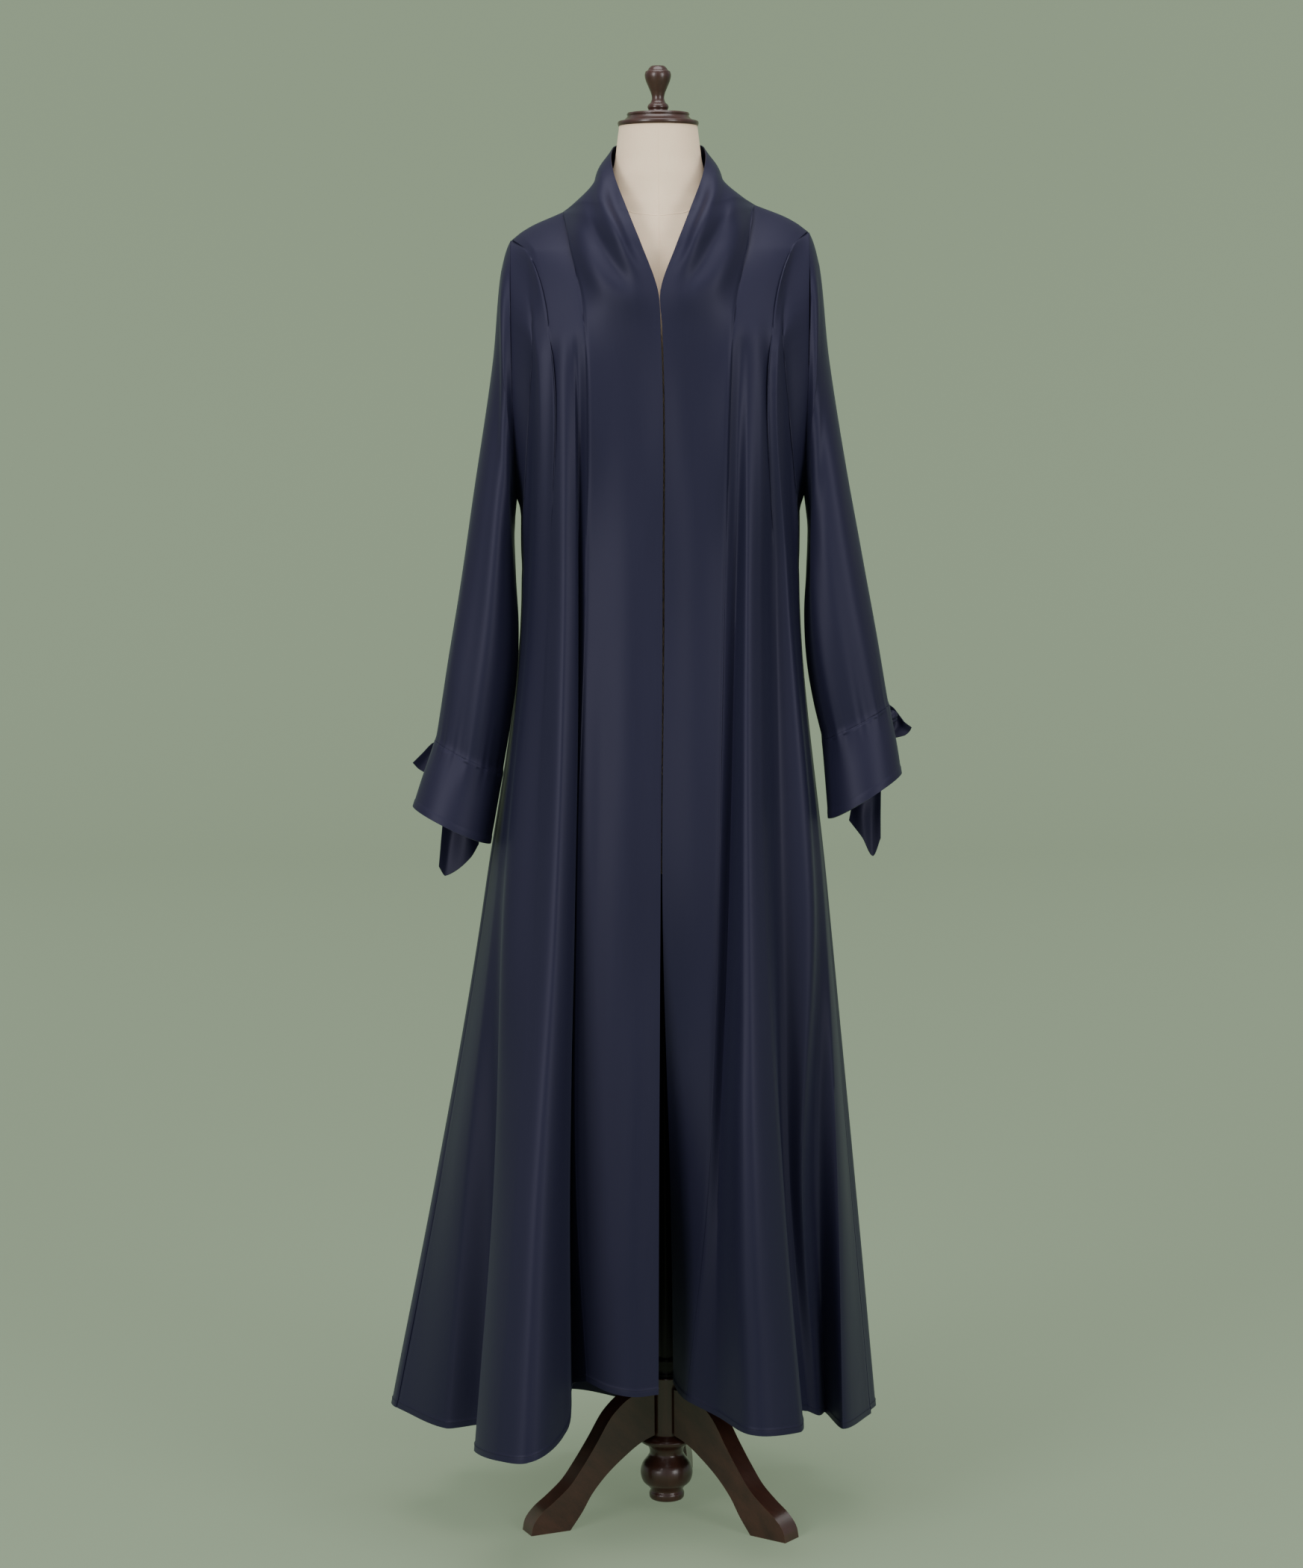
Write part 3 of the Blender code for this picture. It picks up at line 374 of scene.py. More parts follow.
def satin_material(name, deep, bright, roughness):
    shade, tree, shader = blank_material(name, bright)
    where = tree.nodes.new("ShaderNodeTexCoord")
    weave = place_group(tree, satin_group, Cloth=where.outputs["UV"], Place=where.outputs["Object"],
                        Deep=(*deep, 1), Bright=(*bright, 1), Base_Roughness=roughness)
    tree.links.new(weave.outputs["Colour"], shader.inputs["Base Color"])
    tree.links.new(weave.outputs["Roughness"], shader.inputs["Roughness"])
    shader.inputs["Specular IOR Level"].default_value = 0.24
    shader.inputs["Specular Tint"].default_value = (0.82, 0.80, 1.0, 1)
    shader.inputs["Sheen Weight"].default_value = 0.04
    shader.inputs["Sheen Roughness"].default_value = 0.45
    shader.inputs["Sheen Tint"].default_value = (0.55, 0.62, 0.95, 1)
    add_bump(tree, shader, (weave.outputs["Handling"], 0.18, 0.003), (weave.outputs["Weave"], 0.06, 0.0001))
    return shade


SATIN = satin_material("navy_satin", (0.0100, 0.0100, 0.0255), (0.0152, 0.0150, 0.0365), 0.50)
THREAD = satin_material("navy_thread", (0.0085, 0.0095, 0.0200), (0.0150, 0.0165, 0.0330), 0.55)

LINEN, tree, shader = blank_material("natural_linen", (0.66, 0.57, 0.47))
where = tree.nodes.new("ShaderNodeTexCoord")
weave = place_group(tree, linen_group, Cloth=where.outputs["UV"])
tree.links.new(weave.outputs["Colour"], shader.inputs["Base Color"])
shader.inputs["Roughness"].default_value = 0.9
shader.inputs["Specular IOR Level"].default_value = 0.25
shader.inputs["Sheen Weight"].default_value = 0.12
add_bump(tree, shader, (weave.outputs["Height"], 0.35, 0.0003))
print("cloth materials ready")

# %% Wood and steel materials
def wood_material(name, grain_turn):
    shade, tree, shader = blank_material(name, (0.040, 0.020, 0.014))
    where = tree.nodes.new("ShaderNodeTexCoord")
    turn = tree.nodes.new("ShaderNodeMapping")
    turn.inputs["Rotation"].default_value = grain_turn
    tree.links.new(where.outputs["Object"], turn.inputs["Vector"])
    grain = place_group(tree, wood_group, Along_Grain=turn.outputs["Vector"])
    wear_and_highlight = place_group(tree, wear_and_highlight_group, Place=where.outputs["Object"], Strength=0.55)
    # Edges turn a lighter warm brown: rubbed stain and a painted edge highlight.
    colour = mix_colour(tree, wear_and_highlight.outputs["Mask"], grain.outputs["Colour"], (0.105, 0.044, 0.028, 1))
    tree.links.new(colour, shader.inputs["Base Color"])
    tree.links.new(grain.outputs["Roughness"], shader.inputs["Roughness"])
    shader.inputs["Specular IOR Level"].default_value = 0.5
    shader.inputs["Coat Weight"].default_value = 0.35
    shader.inputs["Coat Roughness"].default_value = 0.18
    add_bump(tree, shader, (grain.outputs["Height"], 0.12, 0.0003))
    return shade


TURNED_WOOD = wood_material("turned_wood", (0.0, 0.0, 0.0))

STEEL, tree, shader = blank_material("black_steel", (0.02, 0.02, 0.02))
where = tree.nodes.new("ShaderNodeTexCoord")
brushed = noise_node(tree, scaled(tree, where.outputs["Object"], (30.0, 30.0, 900.0)), 1.0, 3.0)
wear_and_highlight = place_group(tree, wear_and_highlight_group, Radius=0.0008, Place=where.outputs["Object"], Strength=0.8)
# Edges turn light grey: worn paint and a painted edge highlight.
colour = mix_colour(tree, wear_and_highlight.outputs["Mask"], (0.014, 0.013, 0.013, 1), (0.22, 0.21, 0.20, 1))
tree.links.new(colour, shader.inputs["Base Color"])
tree.links.new(math_node(tree, "MULTIPLY_ADD", brushed, 0.18, 0.24), shader.inputs["Roughness"])
shader.inputs["Metallic"].default_value = 0.9
add_bump(tree, shader, (brushed, 0.08, 0.0002))
print("materials:", sorted(m.name for m in bpy.data.materials))

# %% [markdown]
# ## The cut of the abaya
#
# The garment is eleven sewn pieces. Its hang is described by lines that run down the
# cloth, each with its distance out from the centre line at five heights and the depth
# of its fold at three. Smooth curves through those lines give the whole surface, so a
# fold is one row of a table and stays easy to move. "Out" means away from the centre.

# %% Sizes and lines of the hanging cloth
WALL = 0.0012
SEAM_GAP = 0.0003
NECK_SEAM_DROP = 0.0012
GAP_STEPS = 3
ROW_DROPS = (0.0, 0.010, 0.024, 0.042, 0.066, 0.100, 0.150, 0.220,
             0.310, 0.410, 0.510, 0.610, 0.710, 0.810, 0.910, 1.0)

# Heights at which the hanging cloth is described
YOKE_Z = 1.600
CHEST_Z = 1.500
WAIST_Z = 1.200
THIGH_Z = 0.800
SHIN_Z = 0.450
BACK_HEM_Z = 0.085

# Plan section of the hanging cloth at each height, before the folds
SECTIONS = {
    # level: half width left, half width right, depth in front, depth behind
    "yoke": (0.195, 0.195, 0.078, 0.080),
    "chest": (0.205, 0.205, 0.120, 0.108),
    "waist": (0.178, 0.178, 0.125, 0.126),
    "thigh": (0.224, 0.210, 0.148, 0.160),
    "shin": (0.285, 0.240, 0.168, 0.200),
    "hem": (0.348, 0.266, 0.190, 0.240),
}
SECTION_POWER = 2.2

# Lines that run down the front from shoulder to hem, from the front edge to the side seam
LINE_COLUMNS = ("chest", "waist", "thigh", "shin", "hem",
                "fold_thigh", "fold_shin", "fold_hem", "hem_z")
LEFT_LINES = {
    # name: distance out at five heights, fold depth at three, height of the hem
    "edge": (-0.0013, -0.0017, 0.0032, 0.0072, 0.0093, 0.0025, 0.001, -0.009, 0.2075),
    "panel_a": (0.0293, 0.0291, 0.0368, 0.0412, 0.0391, 0.0065, 0.0045, -0.0025, 0.2063),
    "panel_b": (0.060, 0.060, 0.071, 0.075, 0.069, 0.006, 0.002, -0.008, 0.210),
    "seam": (0.090, 0.091, 0.105, 0.109, 0.098, 0.005, -0.004, -0.017, 0.221),
    "recess": (0.099, 0.101, 0.113, 0.117, 0.116, -0.013, -0.027, -0.049, 0.208),
    "fold_edge": (0.106, 0.102, 0.109, 0.121, 0.124, 0.026, 0.049, 0.057, 0.175),
    "fold_ridge": (0.118, 0.116, 0.129, 0.151, 0.165, 0.055, 0.094, 0.118, 0.157),
    "fold_face": (0.134, 0.136, 0.159, 0.180, 0.204, 0.048, 0.087, 0.107, 0.153),
    "fold_back": (0.152, 0.155, 0.192, 0.208, 0.233, 0.045, 0.049, 0.060, 0.147),
    "valley": (0.160, 0.163, 0.199, 0.211, 0.226, 0.015, -0.012, -0.045, 0.149),
    "side_ridge": (0.168, 0.168, 0.208, 0.247, 0.273, 0.008, 0.001, -0.021, 0.144),
    "side": (0.176, 0.172, 0.221, 0.282, 0.343, 0.010, 0.010, 0.020, 0.146),
}
RIGHT_LINES = {
    "edge": (0.0035, 0.0042, -0.0008, 0.007, 0.010, 0.000, -0.058, -0.145, 0.184),
    "panel_a": (0.031, 0.028, 0.021, 0.020, 0.013, -0.004, -0.045, -0.118, 0.184),
    "panel_b": (0.060, 0.053, 0.045, 0.037, 0.017, -0.006, -0.028, -0.085, 0.186),
    "seam": (0.089, 0.078, 0.067, 0.053, 0.024, -0.005, -0.014, -0.054, 0.187),
    "recess": (0.098, 0.091, 0.080, 0.066, 0.062, -0.012, -0.011, -0.020, 0.176),
    "ridge": (0.110, 0.104, 0.101, 0.103, 0.108, 0.036, 0.064, 0.062, 0.173),
    "fold_edge": (0.125, 0.120, 0.123, 0.142, 0.163, 0.031, 0.051, 0.056, 0.169),
    "fold_back": (0.137, 0.139, 0.144, 0.153, 0.174, 0.001, -0.019, -0.043, 0.164),
    "second": (0.146, 0.154, 0.182, 0.168, 0.190, 0.028, -0.004, -0.048, 0.154),
    "valley": (0.156, 0.163, 0.190, 0.190, 0.200, 0.012, -0.030, -0.073, 0.149),
    "side_ridge": (0.166, 0.168, 0.199, 0.214, 0.219, 0.012, 0.006, 0.004, 0.145),
    "side": (0.176, 0.172, 0.205, 0.234, 0.260, 0.004, 0.010, 0.026, 0.136),
}
PANEL_LINES = ("edge", "panel_a", "panel_b", "seam")
CHEST_FOLD = 0.00
WAIST_FOLD = 0.50

# Soft waves of the plain back
BACK_WAVE = 0.030
BACK_WAVE_PERIOD = 4
BACK_WAVE_START = 0.6
BACK_GROWTH = {"chest": 0.03, "waist": 0.20, "thigh": 0.50, "shin": 0.80, "hem": 1.0}

# Shoulder seam, from the neck notch to the armhole
LEFT_SHOULDER = ((0.080, 1.668), (0.118, 1.6475), (0.164, 1.626), (0.1815, 1.613))
RIGHT_SHOULDER = ((0.080, 1.673), (0.118, 1.655), (0.166, 1.634), (0.184, 1.621))
SHOULDER_SEAM_Y = 0.006
TOP_SPREAD = (0.0, 0.20, 0.42, 0.68, 1.0)

# Cut-on shawl collar, from the foot of the V round to the centre back
COLLAR_ROWS = (3, 2, 2, 2)
COLLAR = {
    # station: free edge, inner line, outer line, seam, each as out, y, z
    "v_foot": ((0.0012, -0.1180, 1.546), (0.034, -0.121, 1.548),
               (0.066, -0.114, 1.550), (0.094, -0.098, 1.545)),
    "lapel": ((0.0200, -0.1060, 1.600), (0.047, -0.110, 1.603),
              (0.079, -0.097, 1.606), (0.108, -0.071, 1.600)),
    "crest": ((0.0295, -0.0970, 1.624), (0.056, -0.099, 1.630),
              (0.087, -0.081, 1.636), (0.1155, -0.024, 1.6425)),
    "shoulder": ((0.0380, -0.0860, 1.646), (0.063, -0.082, 1.651),
                 (0.092, -0.054, 1.657), (0.118, 0.006, 1.6475)),
    "notch": ((0.0545, -0.0500, 1.692), (0.070, -0.043, 1.690),
              (0.079, -0.021, 1.681), (0.080, 0.006, 1.668)),
    "side": ((0.0575, -0.0100, 1.719), (0.0705, -0.003, 1.704),
             (0.077, 0.010, 1.685), (0.077, 0.026, 1.664)),
    "nape_side": ((0.0470, 0.0360, 1.731), (0.054, 0.043, 1.710),
                  (0.058, 0.050, 1.686), (0.060, 0.054, 1.660)),
    "nape": ((0.0004, 0.0612, 1.7297), (0.0004, 0.0662, 1.7077),
             (0.0004, 0.0701, 1.6829), (0.0004, 0.0741, 1.6570)),
}

# The right shoulder sits higher, so its collar stations are lifted at the seam side
RIGHT_LIFT = {"crest": (0.0, 0.001, 0.003, 0.005), "shoulder": (0.0, 0.001, 0.004, 0.0075),
              "notch": (0.0, 0.0, 0.002, 0.005), "side": (0.0, 0.0, 0.001, 0.003)}
LEVEL = (0.0, 0.0, 0.0, 0.0)

# Sleeves, a row for each ring from the armhole to the cuff seam
LEFT_SLEEVE = (
    # overarm out, overarm z, underarm out, underarm z, half depth, centre y
    (0.1815, 1.613, 0.1785, 1.300, 0.064, 0.000),
    (0.1940, 1.575, 0.1830, 1.255, 0.064, 0.000),
    (0.2045, 1.470, 0.1810, 1.200, 0.062, -0.008),
    (0.2290, 1.312, 0.1775, 1.135, 0.060, -0.020),
    (0.2490, 1.182, 0.1805, 1.075, 0.056, -0.029),
    (0.2650, 1.090, 0.1890, 1.015, 0.051, -0.035),
    (0.2795, 1.000, 0.1990, 0.959, 0.046, -0.038),
)
RIGHT_SLEEVE = (
    (0.1840, 1.621, 0.1785, 1.300, 0.064, 0.000),
    (0.1970, 1.580, 0.1830, 1.260, 0.064, 0.000),
    (0.2080, 1.470, 0.1810, 1.205, 0.062, -0.008),
    (0.2285, 1.335, 0.1775, 1.150, 0.060, -0.020),
    (0.2480, 1.225, 0.1800, 1.095, 0.056, -0.029),
    (0.2650, 1.130, 0.1880, 1.045, 0.051, -0.035),
    (0.2795, 1.041, 0.1990, 0.998, 0.046, -0.038),
)
SLEEVE_ROWS = 9
ARMHOLE_STEPS = 12
ARMHOLE_GAP = 0.0003
ARMHOLE_EASE = 0.0004
LEFT_CUFF = ((0.2800, 0.9995, 0.1990, 0.9585, 0.0465, -0.038),
             (0.2960, 0.9570, 0.2070, 0.9130, 0.0500, -0.042),
             (0.3084, 0.9190, 0.2145, 0.8720, 0.0530, -0.046))
RIGHT_CUFF = ((0.2800, 1.0405, 0.1990, 0.9975, 0.0465, -0.038),
              (0.2890, 0.9980, 0.2025, 0.9500, 0.0500, -0.044),
              (0.2951, 0.9570, 0.2060, 0.9010, 0.0530, -0.050))
CUFF_ROWS = 3

print("front lines:", len(LEFT_LINES), "left,", len(RIGHT_LINES), "right")

# %% Curves through the lines
def spline(points, shares):
    """Smooth curve through the points, read at the given knot positions (0 is the first)."""
    pts = np.asarray(points, dtype=float)
    last = len(pts) - 1
    out = []
    for share in shares:
        k = min(int(share), last - 1)
        t = share - k
        p1 = pts[k]
        p2 = pts[k + 1]
        p0 = pts[k - 1] if k > 0 else 2 * p1 - p2
        p3 = pts[k + 2] if k + 2 <= last else 2 * p2 - p1
        span = max(np.linalg.norm(p2 - p1), 1e-9)
        before = max(np.linalg.norm(p1 - p0), 1e-9)
        after = max(np.linalg.norm(p3 - p2), 1e-9)
        leave = (p1 - p0) / before * span * before / (before + span)
        leave = leave + (p2 - p1) / span * span * span / (before + span)
        arrive = (p2 - p1) / span * span * after / (span + after)
        arrive = arrive + (p3 - p2) / after * span * span / (span + after)
        arrive = arrive if k + 2 <= last else (p2 - p1)
        leave = leave if k > 0 else (p2 - p1)
        h1 = 2 * t**3 - 3 * t**2 + 1
        h2 = -2 * t**3 + 3 * t**2
        h3 = t**3 - 2 * t**2 + t
        h4 = t**3 - t**2
        out.append(h1 * p1 + h2 * p2 + h3 * leave + h4 * arrive)
    return np.array(out)


def even_points(points, fractions):
    """Points at the given fractions of the length of the smooth curve through the points."""
    fine = spline(points, np.linspace(0, len(points) - 1, 12 * (len(points) - 1) + 1))
    steps = np.linalg.norm(np.diff(fine, axis=0), axis=1)
    length = np.concatenate([[0.0], np.cumsum(steps)])
    wanted = np.asarray(fractions) * length[-1]
    return np.stack([np.interp(wanted, length, fine[:, k]) for k in range(3)], axis=1)


print("a quarter of the way:", spline([(0, 0, 0), (1, 0, 0), (2, 0, 1)], [0.5])[0].round(3))

# %% Heights, sections and shoulder
def section_depth(level, side, out, face):
    """How far the plain section reaches to the front (face 2) or the back (face 3)."""
    row = SECTIONS[level]
    half_width = row[0] if side < 0 else row[1]
    share = min(1.0, abs(out) / half_width)
    return row[face] * (1 - share**SECTION_POWER) ** (1 / SECTION_POWER)


def shoulder_curve(side):
    return LEFT_SHOULDER if side < 0 else RIGHT_SHOULDER


def shoulder_point(side, out):
    """Point of the shoulder seam at a distance from the centre line."""
    table = np.array(shoulder_curve(side))
    outs = spline(table, np.linspace(0, len(table) - 1, 40))
    z = np.interp(out, outs[:, 0], outs[:, 1])
    y = np.interp(out, [table[1, 0], table[-1, 0]], [SHOULDER_SEAM_Y, 0.0])
    return np.array([side * out, y, z])


def sleeve_table(side):
    return LEFT_SLEEVE if side < 0 else RIGHT_SLEEVE


def ring_point(side, row, angle):
    """Point of a sleeve ring: angle 0 is overarm, 90 degrees front, 180 underarm."""
    over = np.array([side * row[0], row[5], row[1]])
    under = np.array([side * row[2], row[5], row[3]])
    middle = (over + under) / 2
    return middle + (over - middle) * math.cos(angle) + np.array([0, -row[4] * math.sin(angle), 0])


def armhole_point(side, angle):
    return ring_point(side, sleeve_table(side)[0], angle)


def front_levels(side, name):
    """Points of one front line from yoke to hem."""
    table = LEFT_LINES if side < 0 else RIGHT_LINES
    row = dict(zip(LINE_COLUMNS, table[name]))
    folds = {"chest": CHEST_FOLD * row["fold_thigh"], "waist": WAIST_FOLD * row["fold_thigh"],
             "thigh": row["fold_thigh"], "shin": row["fold_shin"], "hem": row["fold_hem"]}
    heights = {"chest": CHEST_Z, "waist": WAIST_Z, "thigh": THIGH_Z, "shin": SHIN_Z,
               "hem": row["hem_z"]}
    points = []
    for level, z in heights.items():
        plain = 0.0 if name == "side" else section_depth(level, side, row[level], 2)
        y = -plain - folds[level]
        points.append((side * row[level], y, z))
    return points


def with_top(top, levels, yoke):
    """Control points of a column whose top may lie below the chest."""
    ladder = np.array([yoke] + list(levels))
    heights = ladder[:, 2]
    rows = [top]
    for z, drop in ((YOKE_Z, 0.020), (CHEST_Z, 0.070)):
        at = min(z, top[2] - drop)
        place = [np.interp(-at, -heights, ladder[:, k]) for k in range(2)]
        rows.append(np.array([place[0], place[1], at]))
    rows.extend(ladder[2:])
    return rows


def over_the_ridge(control):
    """Fine points of a column that starts level, as cloth does on the ridge of the shoulder."""
    top, below = control[0], control[1]
    beyond = np.array([below[0], 2 * top[1] - below[1], below[2]])
    curve = [beyond] + control
    return list(spline(curve, np.linspace(1, len(curve) - 1, 12 * (len(curve) - 2) + 1)))


print("left armhole from", armhole_point(-1, 0).round(3), "to", armhole_point(-1, math.pi).round(3))

# %% [markdown]
# ### Rows and columns
#
# A column starts at the hem and ends at the shoulder, the armhole or the neck. Rows
# crowd together at the hem, where it is turned up, and at the shoulder, where the cloth
# bends over the form. Columns crowd together beside each seam for the same reason.

# %% Row and column places
HEM_ROWS = (0.0, 0.0009, 0.0028, 0.0050, 0.0062, 0.0070, 0.0085, 0.0120)
ROWS_PER_DROP = 8

drops = np.array(ROW_DROPS)
between = np.interp(np.linspace(0, len(drops) - 1, ROWS_PER_DROP * (len(drops) - 1) + 1),
                    np.arange(len(drops)), drops)
between[1:] = np.maximum(between[1:], 0.0012)
ROW_SHARES = np.unique(np.round(np.concatenate([HEM_ROWS, 1.0 - between]), 6))
ROW_SHARES = ROW_SHARES[(ROW_SHARES <= 0.0121) | (ROW_SHARES > 0.0150)]
TOP_ROW = len(ROW_SHARES)


def crowded(last, per_step, seams, near=(0.03, 0.08, 0.16)):
    """Column places from 0 to last, with extra ones close to each seam."""
    places = list(np.linspace(0, last, per_step * last + 1))
    for seam in seams:
        for step in near:
            places += [seam - step, seam + step]
    places = np.unique(np.round(places, 5))
    return places[(places >= 0) & (places <= last)]


PANEL_PLACES = crowded(3, 9, (0, 3))
SIDE_PLACES = crowded(8, 12, (0, 8))
SHOULDER_GAPS = len(TOP_SPREAD) - 1
ARMHOLE_GAPS = 4
NECK_STEPS = sum(COLLAR_ROWS)
BACK_LAST = ARMHOLE_GAPS * GAP_STEPS + SHOULDER_GAPS * GAP_STEPS + NECK_STEPS
BACK_PLACES = crowded(BACK_LAST, 4, (0,), (0.1, 0.25))
print(TOP_ROW, "rows;", len(PANEL_PLACES), len(SIDE_PLACES), len(BACK_PLACES), "columns")

# %% [markdown]
# ### Front panel and shawl collar
#
# The front panel and its half of the collar are cut in one. Below the shoulder it
# follows the front lines. Above, it rolls back round the neck through the collar
# stations, and the two halves are joined at the nape.

# %% Front panel
def panel_columns(side):
    levels = [front_levels(side, name) for name in PANEL_LINES]
    stations = []
    for k in range(len(levels[0]) - 1, -1, -1):
        stations.append([line[k] for line in levels])
    for name, station in COLLAR.items():
        lifts = RIGHT_LIFT.get(name, LEVEL) if side > 0 else LEVEL
        stations.append([(side * p[0], p[1], p[2] + lift) for p, lift in zip(station, lifts)])
    lower = len(levels[0]) + list(COLLAR).index("shoulder") + 1
    across = [spline(points, PANEL_PLACES) for points in stations]
    above = []
    for k, count in enumerate(COLLAR_ROWS):
        above += [lower - 1 + k + step / (7 * count) for step in range(1, 7 * count + 1)]
    columns = []
    for c in range(len(PANEL_PLACES)):
        rail = [row[c] for row in across]
        columns.append(np.vstack([even_points(rail[:lower], ROW_SHARES), spline(rail, above)]))
    return np.array(columns)


panels = {side: panel_columns(side) for side in (-1, 1)}
print("panel grid:", panels[-1].shape)

# %% [markdown]
# ### Side front and back
#
# The side front carries most of the fullness. Its upper edge is the shoulder first and
# then the front of the armhole. The back takes the rest of the same edges and falls in
# soft, even waves.

# %% Side front
def side_top(side, place):
    """Top of a side front column: along the shoulder, then round the front of the armhole."""
    if place >= SHOULDER_GAPS:
        return armhole_point(side, math.pi * (place - SHOULDER_GAPS) / ARMHOLE_GAPS)
    table = shoulder_curve(side)
    share = spline([(s, 0, 0) for s in TOP_SPREAD], [place])[0][0]
    return shoulder_point(side, table[1][0] + (table[-1][0] - table[1][0]) * share)


def side_columns(side, seam_column):
    names = list(LEFT_LINES if side < 0 else RIGHT_LINES)[3:]
    levels = [front_levels(side, name) for name in names]
    across = [spline([line[k] for line in levels], SIDE_PLACES) for k in range(len(levels[0]))]
    columns = [seam_column]
    for c, place in enumerate(SIDE_PLACES[1:], start=1):
        top = side_top(side, place)
        out = 0.55 * abs(top[0]) + 0.45 * abs(across[0][c][0])
        yoke = (side * out, -section_depth("yoke", side, out, 2), YOKE_Z)
        control = with_top(top, [row[c] for row in across], yoke)
        if place < SHOULDER_GAPS:
            control = over_the_ridge(control)
        columns.append(even_points(control[::-1], ROW_SHARES))
    return np.array(columns)


sides = {side: side_columns(side, panels[side][-1][:TOP_ROW]) for side in (-1, 1)}
print("side front grid:", sides[-1].shape)

# %% Back
def back_level(level, side, seam, place):
    """Point of the back at one height; place 0 is the side seam, BACK_LAST the centre back."""
    half_width = abs(seam[0])
    depth = SECTIONS[level][3]
    turn = 0.5 * math.pi * place / BACK_LAST
    power = 2 / SECTION_POWER
    x = half_width * max(math.cos(turn), 0.0) ** power
    y = depth * math.sin(turn) ** power + seam[1] * math.cos(turn) ** 2
    around = (place if side < 0 else 2 * BACK_LAST - place) / (GAP_STEPS * BACK_WAVE_PERIOD)
    fade = math.sin(turn) ** 0.5
    wave = BACK_WAVE * BACK_GROWTH[level] * fade * math.sin(2 * math.pi * around + BACK_WAVE_START)
    outward = Vector((math.cos(turn) / half_width, math.sin(turn) / depth)).normalized()
    return side * (x + wave * outward.x), y + wave * outward.y


def back_top(side, place):
    """Top of a back column: armhole, then shoulder, then the neck seam."""
    armhole_end = ARMHOLE_GAPS * GAP_STEPS
    shoulder_end = armhole_end + SHOULDER_GAPS * GAP_STEPS
    if place <= armhole_end:
        point = side_top(side, SHOULDER_GAPS + ARMHOLE_GAPS - place / GAP_STEPS)
        point[1] *= -1
        return point
    if place <= shoulder_end:
        return side_top(side, (shoulder_end - place) / GAP_STEPS)
    rows = TOP_ROW - 1 + 7 * (place - shoulder_end)
    neck = panels[side][-1]
    low = min(int(rows), len(neck) - 2)
    point = neck[low] + (neck[low + 1] - neck[low]) * (rows - low)
    point[2] -= NECK_SEAM_DROP * min(1.0, place - shoulder_end)
    return point


def back_half(side, seam_column):
    seam_points = front_levels(side, "side")
    heights = (CHEST_Z, WAIST_Z, THIGH_Z, SHIN_Z)
    columns = [seam_column]
    for place in BACK_PLACES[1:]:
        drop = math.sin(0.5 * math.pi * place / BACK_LAST) ** 1.4
        hem_z = seam_column[0][2] + (BACK_HEM_Z - seam_column[0][2]) * drop
        levels = []
        for level, seam, z in zip(BACK_GROWTH, seam_points, heights + (hem_z,)):
            levels.append((*back_level(level, side, seam, place), z))
        top = back_top(side, place)
        if place == BACK_LAST:
            top[0] = 0.0
        out = 0.5 * abs(top[0]) + 0.5 * abs(levels[0][0])
        yoke = (side * out, section_depth("yoke", side, out, 3), YOKE_Z)
        control = with_top(top, levels, yoke)
        if place > ARMHOLE_GAPS * GAP_STEPS:
            control = over_the_ridge(control)
        columns.append(even_points(control[::-1], ROW_SHARES))
    return np.array(columns)


halves = {side: back_half(side, sides[side][-1]) for side in (-1, 1)}
centre = (halves[-1][-1] + halves[1][-1]) / 2
halves[-1][-1] = centre
halves[1][-1] = centre
print("back half grid:", halves[-1].shape)

# %% [markdown]
# ### One ring round the body
#
# All body pieces are joined into one ring before their directions are worked out, so
# that the light runs smoothly over every seam. The ring is then cut apart again.

# %% Directions
def unit(vectors):
    return vectors / np.maximum(np.linalg.norm(vectors, axis=-1, keepdims=True), 1e-12)


def grid_normals(grid, closed=False):
    """Unit normals of a grid of points, first index round the body, second up it."""
    if closed:
        along = np.roll(grid, -1, axis=0) - np.roll(grid, 1, axis=0)
    else:
        along = np.gradient(grid, axis=0)
    up = np.gradient(grid, axis=1)
    return unit(np.cross(unit(along), unit(up)))


ring = np.concatenate([
    panels[-1][:, :TOP_ROW], sides[-1][1:], halves[-1][1:],
    halves[1][-2:0:-1], sides[1][:0:-1], panels[1][::-1, :TOP_ROW]])
ring_normals = -grid_normals(ring)
panel_count, side_count = len(PANEL_PLACES), len(SIDE_PLACES)
first = panel_count - 1
last = len(ring) - panel_count
cuts = {"side_left": slice(first, first + side_count),
        "back": slice(first + side_count - 1, last - side_count + 2),
        "side_right": slice(last - side_count + 1, last + 1)}
collar_normals = {-1: -grid_normals(panels[-1]), 1: grid_normals(panels[1])}
collar_normals[-1][:, :TOP_ROW - 1] = ring_normals[:panel_count, :TOP_ROW - 1]
collar_normals[1][:, :TOP_ROW - 1] = ring_normals[last:, :TOP_ROW - 1][::-1]
grids = {"front_panel_left": (panels[-1], collar_normals[-1]),
         "front_panel_right": (panels[1], collar_normals[1]),
         "side_front_left": (ring[cuts["side_left"]], ring_normals[cuts["side_left"]]),
         "side_front_right": (ring[cuts["side_right"]][::-1], ring_normals[cuts["side_right"]][::-1]),
         "back": (ring[cuts["back"]], ring_normals[cuts["back"]])}
for name, (grid, normals) in grids.items():
    print(name, grid.shape)

# %% [markdown]
# ### Creases placed one by one
#
# Soft creases start where the cloth is held: at the bust, along the collar roll, at the
# shoulder. Each is a short path in the front view with a width and a depth. A crease
# pushes the cloth along its own direction and dies out at both ends.

# %% Crease helper
def smooth_step(value):
    value = np.clip(value, 0.0, 1.0)
    return value * value * (3 - 2 * value)


